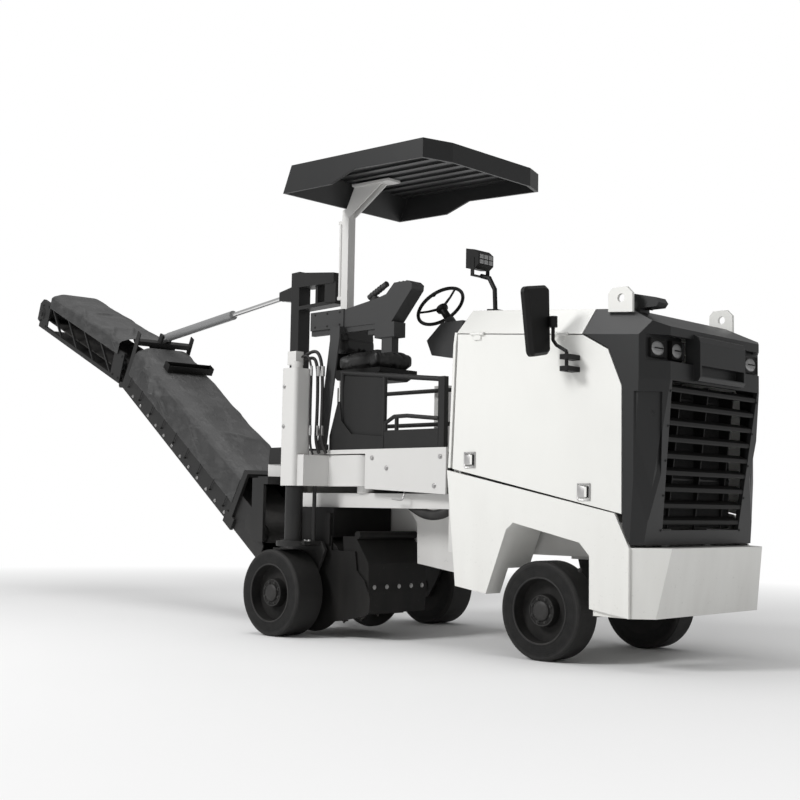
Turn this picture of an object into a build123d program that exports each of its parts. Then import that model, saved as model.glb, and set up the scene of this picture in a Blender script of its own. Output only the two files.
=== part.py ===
"""Compact wheeled cold planer with a rear discharge conveyor.

Frame: +X forward (radiator grille), +Y to the machine's left, +Z up, the ground at z = 0.
Lengths are millimetres. The rear wheel axis stands at x = 0 while the pieces are drawn.
"""
from build123d import *
import math
import os

os.makedirs("parts", exist_ok=True)

# ---------------------------------------------------------------- driving dimensions
SEAT = 0.3  # running clearance where one piece rests on, or turns in, another
WHEEL_D = 600.0  # outer diameter of the solid rubber tyres
REAR_W = 240.0  # rear tyre width
FRONT_W = 190.0  # front tyre width
WHEELBASE = 2120.0
REAR_RIGHT_Y = -850.0
REAR_LEFT_Y = 720.0
FRONT_Y = 545.0
RIM_D = 400.0
HUB_D = 190.0
KING_Y = 330.0
BODY_Y = 680.0  # half width over hood doors and skirts
PANEL = 20.0
GAP = 6.0  # shut line between panels
HOOD_X0 = 1400.0
HOOD_X1 = 2453.0  # joint between hood and cowl
SLOPE = 4.8  # the hood falls towards the grille
CREASE_Z = 1985.0  # crease above the doors, at SLOPE_X
SLOPE_X = 2000.0
ROOF_RISE = 165.0  # hood top above the crease
ROOF_IN = 140.0  # hood top inside the crease
SEAM_Z = 1165.0  # foot of the hood at its rear corner
COWL_X1 = 2955.0
COWL_Z0 = 715.0
COWL_FACE_Z = 1660.0
COWL_WALL = 30.0
GRILLE_TOP_Y = 490.0
SNOUT_X1 = 3000.0
BUMPER_X1 = 2970.0
FLOOR_Z = 1300.0
FLOOR_T = 30.0
DECK_X0 = -560.0
DECK_X1 = 1380.0
DECK_Z = 1000.0
CORNER_X, CORNER_Y = -120.0, -240.0  # ends of the slanting rear right corner
FRAME_Z0 = 620.0
RAIL_Y = 200.0
RAIL_W = 80.0
DRUM_X = 100.0
DRUM_Z = 372.0
DRUM_R = 225.0
PICK_R = 290.0
DRUM_Y0 = -625.0
DRUM_Y1 = -125.0
HOUSING_R = 330.0
HOUSING_T = 15.0
CHUTE_X0 = -740.0
LEG_X = 100.0
SLEEVE = 156.0
LEG_R = 62.0
SLEEVE_Z0 = 1046.0
SLEEVE_Z1 = 1870.0
ARM_Z1 = 1262.0
HEAD_R = 120.0
SWING_X = 520.0
SWING_Y = -560.0
SWING_PIN = 40.0
SLEW_X = -800.0
SLEW_Y = -50.0
SLEW_DEG = 6.0
SLEW_PIN = 40.0
CONV_HALF = 280.0
LOW_DEG = 32.6
LOW_LEN = 2830.0
UP_DEG = 21.5
UP_LEN = 2060.0
TRUSS_H = 290.0
MAST_Z = 2770.0
CANOPY_X0 = -88.0
CANOPY_X1 = 1370.0
CANOPY_Y0 = -860.0
CANOPY_Y1 = 347.0
CANOPY_Z = 3348.0  # top at the rear edge
PIN = 30.0


# ---------------------------------------------------------------- helpers
def box(x0, x1, y0, y1, z0, z1, mode=Mode.ADD):
    with Locations(((x0 + x1) / 2, (y0 + y1) / 2, (z0 + z1) / 2)):
        Box(abs(x1 - x0), abs(y1 - y0), abs(z1 - z0), mode=mode)


def side_plane(y):
    """A plane across Y at y, drawn in (-x, z), its normal towards +Y."""
    return Plane(origin=(0, y, 0), x_dir=(-1, 0, 0), z_dir=(0, 1, 0))


def profile(pts, y0, y1, mode=Mode.ADD, round_at=0.0):
    """A plate with the outline pts in (x, z), between y0 and y1."""
    with BuildSketch(side_plane(min(y0, y1))) as face:
        Polygon(*[(-x, z) for x, z in pts], align=None)
        if round_at:
            fillet(face.vertices(), radius=round_at)
    extrude(to_extrude=face.sketch, amount=abs(y1 - y0), dir=(0, 1, 0), mode=mode)


def cross(pts, x0, x1, mode=Mode.ADD):
    """A solid with the outline pts in (y, z), between x0 and x1."""
    with BuildSketch(Plane(origin=(min(x0, x1), 0, 0), x_dir=(0, 1, 0), z_dir=(1, 0, 0))) as face:
        Polygon(*pts, align=None)
    extrude(to_extrude=face.sketch, amount=abs(x1 - x0), dir=(1, 0, 0), mode=mode)


def plan(pts, z0, z1, mode=Mode.ADD, round_at=0.0):
    """A solid with the outline pts in (x, y), between z0 and z1."""
    with BuildSketch(Plane.XY.offset(z0)) as face:
        Polygon(*pts, align=None)
        if round_at:
            fillet(face.vertices(), radius=round_at)
    extrude(to_extrude=face.sketch, amount=z1 - z0, dir=(0, 0, 1), mode=mode)


def post(x, y, radius, z0, z1, mode=Mode.ADD):
    """An upright round piece."""
    with BuildSketch(Plane.XY.offset(z0)) as face:
        with Locations((x, y)):
            Circle(radius)
    extrude(to_extrude=face.sketch, amount=z1 - z0, mode=mode)


def along(a, b, radius=None, size=None, sides=0, mode=Mode.ADD):
    """A bar from a to b: round, of the given number of sides, or of a rectangular size."""
    start, end = Vector(*a), Vector(*b)
    way = end - start
    with BuildSketch(Plane(origin=start, z_dir=way)) as face:
        if sides:
            RegularPolygon(radius, sides)
        elif radius:
            Circle(radius)
        else:
            Rectangle(size[0], size[1])
    extrude(to_extrude=face.sketch, amount=way.length, mode=mode)


def disc(centre, radius, y0, y1, mode=Mode.ADD):
    """A round piece about a line along Y."""
    with BuildSketch(side_plane(min(y0, y1))) as face:
        with Locations((-centre[0], centre[1])):
            Circle(radius)
    extrude(to_extrude=face.sketch, amount=abs(y1 - y0), dir=(0, 1, 0), mode=mode)


def crease(x):
    """Height of the hood's crease at x."""
    return CREASE_Z - (x - SLOPE_X) * math.tan(math.radians(SLOPE))


def roof(x):
    """Height of the hood's top at x."""
    return crease(x) + ROOF_RISE


finished = []


def done(name, part):
    part.label = name
    finished.append(part)


MIRRORED = (("right", -1.0), ("left", 1.0))
BOTH = (-1.0, 1.0)

# ---------------------------------------------------------------- chassis
REAR_BOX_Y1 = 560.0
AXLE_CUT = 90.0  # half length of the block over the front axle
ARM_Z0 = SLEEVE_Z0  # underside of the swing arm
with BuildPart() as chassis:
    for side in BOTH:
        box(HOOD_X0 - 60, 2750, side * RAIL_Y, side * (RAIL_Y + RAIL_W), FRAME_Z0, 900)
        box(2740, 2860, side * RAIL_Y, side * (RAIL_Y + RAIL_W), FRAME_Z0, 700)
    box(HOOD_X0 - 60, HOOD_X0, -600, REAR_BOX_Y1, FRAME_Z0, DECK_Z)
    plan([(DECK_X0, CORNER_Y), (DECK_X0, REAR_BOX_Y1), (HOOD_X0, REAR_BOX_Y1), (HOOD_X0, -600), (CORNER_X, -600)],
         900, DECK_Z)
    box(DECK_X0, HOOD_X0 - 60, -70, REAR_BOX_Y1, FRAME_Z0 + 40, 900)
    box(WHEELBASE + 300, WHEELBASE + 380, -RAIL_Y, RAIL_Y, FRAME_Z0, 900)
    box(WHEELBASE - AXLE_CUT, WHEELBASE + AXLE_CUT, -RAIL_Y, RAIL_Y, FRAME_Z0 - 20, FRAME_Z0 + 120)
    # upright plate beside the recess in front of the drum
    profile([(700, 900), (780, 800), (790, 522), (HOOD_X0, 440), (HOOD_X0, 900)], -310, -290)
    # bulkhead behind the engine, with the ledge that carries the hood
    box(HOOD_X0 + 30, HOOD_X0 + 60, -BODY_Y + 60, BODY_Y - 60, 900, SEAM_Z - SEAT)
    box(HOOD_X0, HOOD_X0 + 60, -BODY_Y + 60, BODY_Y - 60, SEAM_Z - 30, SEAM_Z - SEAT)
    # nose beam that carries cowl and bumper
    for side in BOTH:
        box(2700, 2765, side * RAIL_Y, side * (BODY_Y - COWL_WALL - SEAT), 790, 840)
    # slewing bracket at the rear
    box(SLEW_X - 150, DECK_X0, SLEW_Y - 170, SLEW_Y + 170, 1130, 1230)
    box(DECK_X0 - 60, DECK_X0, SLEW_Y - 170, SLEW_Y + 170, 900, 1130)
    post(SLEW_X, SLEW_Y, SLEW_PIN, 1120, 1240, mode=Mode.SUBTRACT)
    # left rear leg sleeve with its web
    plan([(LEG_X - SLEEVE / 2, REAR_LEFT_Y - SLEEVE / 2), (LEG_X + SLEEVE / 2, REAR_LEFT_Y - SLEEVE / 2),
          (LEG_X + SLEEVE / 2, REAR_LEFT_Y + SLEEVE / 2), (LEG_X - SLEEVE / 2, REAR_LEFT_Y + SLEEVE / 2)],
         SLEEVE_Z0 - 150, SLEEVE_Z1, round_at=30)
    box(LEG_X - 60, LEG_X + 60, REAR_BOX_Y1, REAR_LEFT_Y - SLEEVE / 2 + 5, 900, DECK_Z)
    post(LEG_X, REAR_LEFT_Y, LEG_R + SEAT, SLEEVE_Z0 - 160, SLEEVE_Z1 - 20, mode=Mode.SUBTRACT)
    # swing pin of the right rear arm
    post(SWING_X, SWING_Y, 60, DECK_Z - 1, ARM_Z0 - SEAT)
    post(SWING_X, SWING_Y, SWING_PIN - SEAT, ARM_Z0 - 10, ARM_Z1)
done("chassis_frame", chassis.part)

with BuildPart() as engine:
    box(1500, 2400, -260, 260, 900 + SEAT, 1700)
    box(1500, 2400, -RAIL_Y - RAIL_W, RAIL_Y + RAIL_W, 900 + SEAT, 940)
done("engine_block", engine.part)


# ---------------------------------------------------------------- hood
def roof_wedge(x0, x1, inset, mode=Mode.SUBTRACT):
    """Cuts the long edges between crease and top, which fall with the hood."""
    tilt = math.radians(SLOPE)
    for side in BOTH:
        plane = Plane(origin=(SLOPE_X, 0, CREASE_Z), x_dir=(0, 1, 0), z_dir=(math.cos(tilt), 0, -math.sin(tilt)))
        with BuildSketch(plane) as face:
            Polygon((side * (BODY_Y - inset), 0), (side * (BODY_Y - ROOF_IN - inset * 0.7), ROOF_RISE - inset),
                    (side * (BODY_Y - ROOF_IN - inset * 0.7), ROOF_RISE + 90), (side * (BODY_Y + 30), ROOF_RISE + 90),
                    (side * (BODY_Y + 30), 0), align=None)
        extrude(to_extrude=face.sketch, amount=x1 - SLOPE_X, both=False, mode=mode)
        extrude(to_extrude=face.sketch, amount=-(SLOPE_X - x0), both=False, mode=mode)


def hood_body(inset, foot):
    profile([(HOOD_X0 + inset, foot), (HOOD_X0 + 32 + inset, 1960), (HOOD_X0 + 60 + inset, crease(1460)),
             (HOOD_X0 + 75 + inset, roof(1475) - inset), (HOOD_X1, roof(HOOD_X1) - inset), (HOOD_X1, foot)],
            -BODY_Y + inset, BODY_Y - inset)
    roof_wedge(1300, 2600, inset)


HINGE_X = (1640.0, 2300.0)
HINGE_L = 60.0
HINGE_R = 9.0
HINGE_Y = BODY_Y + HINGE_R + SEAT
with BuildPart() as hood_core:
    hood_body(PANEL, SEAM_Z - 9)
with BuildPart() as hood:
    hood_body(0, SEAM_Z)
    add(hood_core.part, mode=Mode.SUBTRACT)
    profile([(HOOD_X0 + PANEL, SEAM_Z - 9), (HOOD_X0 + PANEL, crease(HOOD_X0 + PANEL)),
             (HOOD_X1 + 9, crease(HOOD_X1 + 9)), (HOOD_X1 + 9, SEAM_Z - 9)], -BODY_Y - 9, BODY_Y + 9,
            mode=Mode.SUBTRACT)
    profile([(HOOD_X0, SEAM_Z), (HOOD_X0 + 32, 1960), (HOOD_X0 + 44, crease(1444) + 5),
             (HOOD_X0 + 64, crease(1464) + 5), (HOOD_X0 + 52, 1960), (HOOD_X0 + 20, SEAM_Z)], -BODY_Y, BODY_Y)
    for side in BOTH:
        for x in HINGE_X:
            for x0 in (x - HINGE_L / 2 - 25, x + HINGE_L / 2 + SEAT):
                along((x0, side * HINGE_Y, crease(x0) - GAP / 2),
                      (x0 + 25 - SEAT, side * HINGE_Y, crease(x0 + 25 - SEAT) - GAP / 2), radius=HINGE_R, sides=12)
                box(x0 + 1, x0 + 23, side * (BODY_Y - 14), side * HINGE_Y, crease(x0) + 1, crease(x0) + 7)
done("hood_shell", hood.part)

DOOR_X0 = HOOD_X0 + 44 + PANEL + GAP


def door_outline(gap):
    """Outline of the side door: gap widens it, for the opening in the cowl."""
    return [(DOOR_X0 - 32, SEAM_Z - GAP), (DOOR_X0, 1960), (DOOR_X0, crease(DOOR_X0) - GAP),
            (HOOD_X1 + 7 + gap, crease(HOOD_X1 + 7) - GAP + gap), (2640 + gap, 1842 + gap), (2735 + gap, 1625),
            (2738 + gap, 891 - gap)]


for name, side in MIRRORED:
    with BuildPart() as door:
        profile(door_outline(0), side * BODY_Y, side * (BODY_Y - PANEL))
        for x, z in ((1587, 1214), (2476, 1015)):
            box(x - 38, x + 38, side * BODY_Y, side * (BODY_Y + 5), z - 42, z + 42)
            box(x + 8, x + 26, side * (BODY_Y + 5), side * (BODY_Y + 12), z - 30, z + 30)
        for x in HINGE_X:
            x0, x1 = x - HINGE_L / 2, x + HINGE_L / 2
            along((x0, side * HINGE_Y, crease(x0) - GAP / 2), (x1, side * HINGE_Y, crease(x1) - GAP / 2), radius=HINGE_R)
            box(x0 + 1, x1 - 1, side * (BODY_Y - 8), side * HINGE_Y, crease(x1) - 40, crease(x1) - GAP / 2 - 3)
    done(f"hood_door_{name}", door.part)

SKIRT_PTS = [(1391, 1150), (1473, 417), (1730, 381), (1889, 783), (1943, 825), (2443, 719),
             (2515, 645), (2517, 340), (2790, 300), (2790, 700), (2690, 893)]
ARCH = [(1730, 381), (1889, 783), (1943, 825), (2443, 719), (2515, 645), (2517, 340)]
LINER_T = 6.0
LINER_Y = 330.0  # inner edge over the wheel
LINER_LOW_Y = 540.0  # inner edge before and behind it, clear of the steered wheel
LINER_Z = 540.0  # where the deep part of the liner ends


def arch_strip(points):
    """The outline of a thin sheet that follows the arch, inside its edge."""
    return points + [(x + (-LINER_T if x < 1900 else LINER_T if x > 2450 else 0), z + (LINER_T if z > 600 else 0))
                     for x, z in reversed(points)]


for name, side in MIRRORED:
    with BuildPart() as skirt:
        profile(SKIRT_PTS, side * BODY_Y, side * (BODY_Y - PANEL))
        box(1480, 1700, side * (BODY_Y - PANEL), side * (RAIL_Y + RAIL_W + SEAT), 640, 700)
        profile(arch_strip(ARCH), side * (BODY_Y - PANEL + 1), side * LINER_LOW_Y)
        low = [(1730 + (LINER_Z - 381) * 159 / 402, LINER_Z)] + ARCH[1:5] + [(2515.5, LINER_Z)]
        profile(arch_strip(low), side * (BODY_Y - PANEL - 1), side * LINER_Y)
    done(f"side_skirt_{name}", skirt.part)

with BuildPart() as bumper:
    outer = [(2530, -BODY_Y + PANEL + 2), (2800, -BODY_Y + PANEL + 2), (BUMPER_X1, -515), (BUMPER_X1, 515),
             (2800, BODY_Y - PANEL - 2), (2530, BODY_Y - PANEL - 2)]
    inner = [(2400, -625), (2785, -625), (2865, -490), (2865, 490), (2785, 625), (2400, 625)]
    plan(outer, 300, 700)
    plan(inner, 290, 660, mode=Mode.SUBTRACT)
    profile([(BUMPER_X1, 690), (2900, 290), (3000, 290), (3000, 690)], -700, 700, mode=Mode.SUBTRACT)
    for side in BOTH:
        box(2500, 2860 + SEAT, side * (RAIL_Y - SEAT), side * (RAIL_Y + RAIL_W + SEAT), 600, 701, mode=Mode.SUBTRACT)
done("front_bumper", bumper.part)


def cowl_ring(inset, drop):
    """Plan of the cowl, from its side corners to its flat front, drawn in by inset."""
    x1 = COWL_X1 - drop * 115
    x0 = 2853 - drop * 58
    y1 = 510 + drop * 95
    return [(2420, -BODY_Y + inset), (x0 - inset * 0.6, -BODY_Y + inset), (x1 - inset, -y1 + inset * 0.6),
            (x1 - inset, y1 - inset * 0.6), (x0 - inset * 0.6, BODY_Y - inset), (2420, BODY_Y - inset)]


def cowl_body(inset, foot):
    plan(cowl_ring(inset, 0), COWL_FACE_Z, 2200)
    with BuildSketch(Plane.XY.offset(foot)) as low_ring:
        Polygon(*cowl_ring(inset, 1), align=None)
    with BuildSketch(Plane.XY.offset(COWL_FACE_Z)) as top_ring:
        Polygon(*cowl_ring(inset, 0), align=None)
    loft(sections=[low_ring.sketch, top_ring.sketch], ruled=True)
    profile([(2400, roof(2400) - inset), (2700, roof(2700) - inset), (COWL_X1 + 60, 1940 - inset), (COWL_X1 + 60, 2300),
             (2400, 2300)], -BODY_Y - 9, BODY_Y + 9, mode=Mode.SUBTRACT)
    roof_wedge(2380, 3100, inset)


with BuildPart() as cowl_core:
    cowl_body(COWL_WALL, COWL_Z0 - 9)
with BuildPart() as cowl_mid:
    cowl_body(14, COWL_Z0 - 9)
LAMP_X = 2872.0  # back of the lamp pockets
with BuildPart() as pillar_pockets:
    for side in BOTH:
        plan([(2817, side * 685), (2917, side * 745), (2989, side * 625), (2889, side * 505)], 860, 1590)
    add(cowl_mid.part, mode=Mode.SUBTRACT)
with BuildPart() as cowl:
    cowl_body(0, COWL_Z0)
    add(cowl_core.part, mode=Mode.SUBTRACT)
    # joint with the hood, skirts and doors
    profile([(2300, 1500), (2300, 2400), (HOOD_X1 + GAP, 2400), (HOOD_X1 + GAP, 1500)], -BODY_Y - 9, BODY_Y + 9,
            mode=Mode.SUBTRACT)
    profile([(2400, 500), (2400, 897), (2698, 897), (2800, 712), (2800, 500)], -BODY_Y - 9, BODY_Y + 9,
            mode=Mode.SUBTRACT)
    for side in BOTH:
        profile([(2400, 500), (2400, crease(2400))] + door_outline(GAP)[3:] + [(2745, 500)], side * (BODY_Y + 9),
                side * (BODY_Y - 40), mode=Mode.SUBTRACT)
    # name panel over the grille, left plain, with the slot below it
    profile([(2900, 1672), (SNOUT_X1 - 15, 1672), (SNOUT_X1, 1695), (SNOUT_X1, 1900), (SNOUT_X1 - 12, 1932), (2900, 1975)],
            -262, 262)
    box(2940, SNOUT_X1 + 5, -244, 244, 1702, 1764, mode=Mode.SUBTRACT)
    # grille opening, lamp pockets and the long recesses of the corner pillars
    cross([(-GRILLE_TOP_Y, COWL_FACE_Z), (GRILLE_TOP_Y, COWL_FACE_Z), (GRILLE_TOP_Y - 60, 800), (-GRILLE_TOP_Y + 60, 800)],
          2780, 3010, mode=Mode.SUBTRACT)
    add(pillar_pockets.part, mode=Mode.SUBTRACT)
    for side in BOTH:
        box(LAMP_X, 3010, side * 262, side * 690, 1768, 1918, mode=Mode.SUBTRACT)
        box(LAMP_X - 22, LAMP_X, side * 262, side * 636, 1755, 1930)
done("front_cowl", cowl.part)

BARS = 9
BAR_PITCH = (COWL_FACE_Z - 800) / BARS
with BuildPart() as slats:
    # louvre bars between end strips, in front of the cooler's screen
    for k in range(BARS):
        z = 800 + (k + 0.5) * BAR_PITCH
        drop = (COWL_FACE_Z - z) / 945
        x1 = COWL_X1 - drop * 115
        y1 = GRILLE_TOP_Y - 60 * (COWL_FACE_Z - z) / (COWL_FACE_Z - 800) - 1.2 - SEAT
        profile([(x1 - 60, z + 22), (x1 - 8, z - 16), (x1 - 3, z - 8), (x1 - 3, z + 10), (x1 - 52, z + 34)], -y1, y1)
    profile([(2770, 806), (2770, COWL_FACE_Z - 6), (2784, COWL_FACE_Z - 6), (2784, 806)], -420, 420)
    for y in (-300, 0, 300):
        profile([(2784, 806), (2784, COWL_FACE_Z - 6), (2900, COWL_FACE_Z - 6), (2800, 806)], y - 4, y + 4)
done("grille_slats", slats.part)

with BuildPart() as lamps:
    for side in BOTH:
        for y0, y1, x1 in ((280, 410, LAMP_X + 32), (455, 610, LAMP_X + 22)):
            box(LAMP_X + SEAT, x1, side * y0, side * y1, 1790, 1900)
done("headlamps", lamps.part)

EYE_X = 2660.0
EYE_Y = 570.0
EYE_R = 25.0


def slope_z(x):
    """Just above the bevelled edge of the hood, at the inner face of an eye plate."""
    return crease(x) + (BODY_Y - EYE_Y + 10) / ROOF_IN * ROOF_RISE + SEAT


with BuildPart() as fittings:
    for side in BOTH:
        z0 = crease(EYE_X) + (BODY_Y - EYE_Y) / ROOF_IN * ROOF_RISE
        profile([(EYE_X - 90, slope_z(EYE_X - 90)), (EYE_X - 90, z0 + 130), (EYE_X - 60, z0 + 160), (EYE_X + 40, z0 + 160),
                 (EYE_X + 80, z0 + 120), (EYE_X + 80, slope_z(EYE_X + 80))], side * (EYE_Y - 10), side * (EYE_Y + 10))
        disc((EYE_X, z0 + 95), EYE_R, side * (EYE_Y - 20), side * (EYE_Y + 20), mode=Mode.SUBTRACT)
done("hood_fittings", fittings.part)

with BuildPart() as outlet:
    profile([(2655, 2050), (2655, 2150), (2700, 2185), (2850, 2150), (2870, 2120), (2850, 2095), (2740, 2095), (2740, 2030)],
            -500, -400)
    profile([(2500, roof(2500) + SEAT), (2700, roof(2700) + SEAT), (COWL_X1 + 60, 1940 + SEAT),
             (COWL_X1 + 60, 1800), (2500, 1800)], -520, -380, mode=Mode.SUBTRACT)
done("air_outlet", outlet.part)

LAMP_Y = -500.0
with BuildPart() as lamp:
    # bent tube, bracket and lamp with its shallow hood
    for a, b in (((1630, roof(1630) + SEAT + 3), (1622, 2330)), ((1622, 2325), (1572, 2408)), ((1572, 2404), (1505, 2425))):
        along((a[0], LAMP_Y, a[1]), (b[0], LAMP_Y, b[1]), radius=15, sides=12)
    profile([(1590, roof(1590) + SEAT), (1590, roof(1590) + 10), (1670, roof(1670) + 10), (1670, roof(1670) + SEAT)],
            LAMP_Y - 38, LAMP_Y + 38)
    for y in (LAMP_Y - 78, LAMP_Y + 74):
        box(1480, 1510, y, y + 4, 2420, 2540)
    box(1480, 1510, LAMP_Y - 78, LAMP_Y + 78, 2418, 2426)
    profile([(1435, 2475), (1435, 2605), (1510, 2590), (1545, 2560), (1545, 2490), (1510, 2465)], LAMP_Y - 74, LAMP_Y + 74)
done("work_lamp", lamp.part)

MIRROR_X = 2247.0
MIRROR_ARM_Y = -BODY_Y - 105.0
with BuildPart() as mirror:
    # housing that stands out from the door, drawn in behind its flat glass
    outline = [(-1010, 2205), (-777, 2245), (-760, 1830), (-943, 1795)]
    for x, length, taper in ((MIRROR_X, 26, 0), (MIRROR_X + 26, 22, 40)):
        with BuildSketch(Plane(origin=(x, 0, 0), x_dir=(0, 1, 0), z_dir=(1, 0, 0))) as face:
            Polygon(*outline, align=None)
            fillet(face.vertices(), radius=38)
        extrude(to_extrude=face.sketch, amount=length, taper=taper)
    # arm: clamps on the door, tube and ball joint
    for z in (1720, 1790):
        box(2381, 2441, -BODY_Y - SEAT, MIRROR_ARM_Y - 14, z, z + 30)
    route = [(2421, 1715), (2421, 1835), (2345, 1878), (2320, 1910), (2320, 1990)]
    for a, b in zip(route, route[1:]):
        along((a[0], MIRROR_ARM_Y, a[1]), (b[0], MIRROR_ARM_Y, b[1]), radius=11, sides=8)
    post(2320, MIRROR_ARM_Y, 26, 1985, 2050)
    box(MIRROR_X + 20, 2320, MIRROR_ARM_Y - 11, MIRROR_ARM_Y + 11, 2000, 2036)
done("mirror_right", mirror.part)

# ---------------------------------------------------------------- operator's platform
WALL_X0 = SWING_X + 112
with BuildPart() as platform:
    plan([(DECK_X0, CORNER_Y), (DECK_X0, 620), (DECK_X1, 620), (DECK_X1, -BODY_Y), (CORNER_X, -BODY_Y)],
         FLOOR_Z - FLOOR_T, FLOOR_Z)
    plan([(DECK_X0, CORNER_Y), (DECK_X0 + 26, CORNER_Y), (CORNER_X + 26, -600), (CORNER_X, -600)],
         DECK_Z + SEAT, FLOOR_Z - FLOOR_T)
    profile([(WALL_X0, DECK_Z + 30), (WALL_X0, FLOOR_Z - FLOOR_T), (DECK_X1, FLOOR_Z - FLOOR_T), (DECK_X1, DECK_Z - 5)],
            -BODY_Y, -BODY_Y + PANEL)
    profile([(DECK_X0, DECK_Z + SEAT), (DECK_X0, FLOOR_Z - FLOOR_T), (DECK_X1, FLOOR_Z - FLOOR_T),
             (DECK_X1, DECK_Z + SEAT)], 600, 620)
    box(DECK_X0, DECK_X0 + PANEL, CORNER_Y, 600, DECK_Z + SEAT, FLOOR_Z - FLOOR_T)
    for x in (-300, 300, 900, 1300):
        box(x - 30, x + 30, -400, 600, DECK_Z + SEAT, FLOOR_Z - FLOOR_T)
    for x in (800, 1280):
        box(x - 15, x + 15, -BODY_Y + PANEL, -400, 1180, FLOOR_Z - FLOOR_T)
    # step well in the left side
    for z in (560, 860):
        box(480, 820, 606, 760, z, z + 20)
    for x in (480, 812):
        profile([(x, 560), (x, FLOOR_Z - FLOOR_T), (x + 8, FLOOR_Z - FLOOR_T), (x + 8, 560)], 606, 640)
done("operator_platform", platform.part)

RAIL_TOP = 1840.0
with BuildPart() as rails:
    y = -640.0
    for x, z1 in ((350, RAIL_TOP), (770, RAIL_TOP - 50)):
        along((x, y, FLOOR_Z + SEAT), (x, y, z1), radius=19, sides=12)
    box(1285, 1340, y - 20, y + 20, FLOOR_Z + SEAT, 1765)
    along((335, y, RAIL_TOP + 5), (1310, y, 1748), radius=17, sides=12)
    # kick plate with its rounded corner cut, the dark panel above and the low arch
    profile([(250, FLOOR_Z + SEAT), (250, 1400), (330, 1640), (352, 1640), (372, 1500), (470, 1410), (790, 1385), (790, FLOOR_Z + SEAT)],
            y - 26, y - 20)
    profile([(345, 1480), (375, 1820), (770, 1790), (770, 1370), (520, 1380), (410, 1430)], y - 4, y + 4)
    box(790, 1290, y - 22, y - 8, FLOOR_Z + SEAT, 1425)
    for a, b in (((800, 1420), (800, 1480)), ((800, 1476), (880, 1516)), ((880, 1516), (1000, 1518)),
                 ((1000, 1518), (1290, 1490)), ((905, 1425), (905, 1514))):
        along((a[0], y - 15, a[1]), (b[0], y - 15, b[1]), radius=14, sides=8)
    # left side, open over the steps
    for x in (-500, 440, 860, 1300):
        along((x, 590, FLOOR_Z + SEAT), (x, 590, RAIL_TOP), radius=19, sides=12)
    for x0, x1 in ((-500, 440), (860, 1300)):
        for z in (1560, RAIL_TOP - 15):
            along((x0 - 17, 590, z), (x1 + 17, 590, z), radius=17, sides=12)
    for z in (1560, RAIL_TOP - 15):
        along((-500, 607, z), (-500, 120, z), radius=17, sides=12)
    along((-500, 120, FLOOR_Z + SEAT), (-500, 120, RAIL_TOP), radius=19, sides=12)
done("platform_rails", rails.part)

SEAT_X = 292.0
SEAT_Y = -265.0
SEAT_Z = 1895.0
with BuildPart() as seat:
    box(SEAT_X - 170, SEAT_X + 170, SEAT_Y - 130, SEAT_Y + 130, FLOOR_Z + SEAT, FLOOR_Z + 20)
    post(SEAT_X, SEAT_Y, 60, FLOOR_Z + 20, SEAT_Z - 70)
    profile([(SEAT_X - 240, SEAT_Z - 40), (SEAT_X - 200, SEAT_Z - 75), (SEAT_X + 140, SEAT_Z - 75), (SEAT_X + 240, SEAT_Z - 30),
             (SEAT_X + 240, SEAT_Z), (SEAT_X - 240, SEAT_Z)], SEAT_Y - 190, SEAT_Y + 190)
    profile([(SEAT_X - 262, SEAT_Z - 20), (SEAT_X - 290, 2330), (SEAT_X - 305, 2330), (SEAT_X - 277, SEAT_Z - 40),
             (SEAT_X - 230, SEAT_Z - 40), (SEAT_X - 230, SEAT_Z)], SEAT_Y - 150, SEAT_Y + 150)
done("seat_pedestal", seat.part)
with BuildPart() as cushion:
    profile([(SEAT_X - 230, SEAT_Z + SEAT), (SEAT_X - 235, SEAT_Z + 110), (SEAT_X + 180, SEAT_Z + 135),
             (SEAT_X + 235, SEAT_Z + 105), (SEAT_X + 240, SEAT_Z + SEAT)], SEAT_Y - 220, SEAT_Y + 220)
    profile([(SEAT_X - 260 + SEAT, SEAT_Z + 20), (SEAT_X - 288, 2370), (SEAT_X - 215, 2390), (SEAT_X - 160, SEAT_Z + 112),
             (SEAT_X - 235, SEAT_Z + 20)], SEAT_Y - 210, SEAT_Y + 210)
done("seat_cushion", cushion.part)

CONSOLE_Y = -620.0
CONSOLE_W = 120.0
with BuildPart() as console:
    y0, y1 = CONSOLE_Y, CONSOLE_Y + CONSOLE_W
    # box, body and raised head on a square rail, carried by a slanted bar
    box(-20, 330, y0 - 8, y1, 2172, 2305)
    profile([(330, 2172), (330, 2300), (640, 2345), (745, 2368), (822, 2440), (960, 2440), (992, 2415), (988, 2380),
             (800, 2172)], y0, y1)
    box(-20, 640, y0 + 5, y0 + 40, 2135, 2172)
    box(640, 830, y0, y1 - 10, 2070, 2172)
    profile([(250, 2172), (348, 2172), (348, 2100), (228, 1330), (140, 1330), (250, 2080)], y0 - 60, y0 - 48)
    box(250, 348, y0 - 60, y0 + 10, 2140, 2172)
    box(140, 228, y0 - 60, y0 - 30, FLOOR_Z + SEAT, 1342)
    # joystick on its boot
    post(585, y0 + 60, 26, 2330, 2372)
    along((520, y0 + 60, 2372), (690, y0 + 60, 2452), radius=21, sides=12)
    # lever block and horn button below the head
    box(700, 800, y0 + 10, y0 + 75, 1965, 2070)
    box(560, 640, y0 + 15, y0 + 60, 2100, 2135)
done("side_console", console.part)

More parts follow.
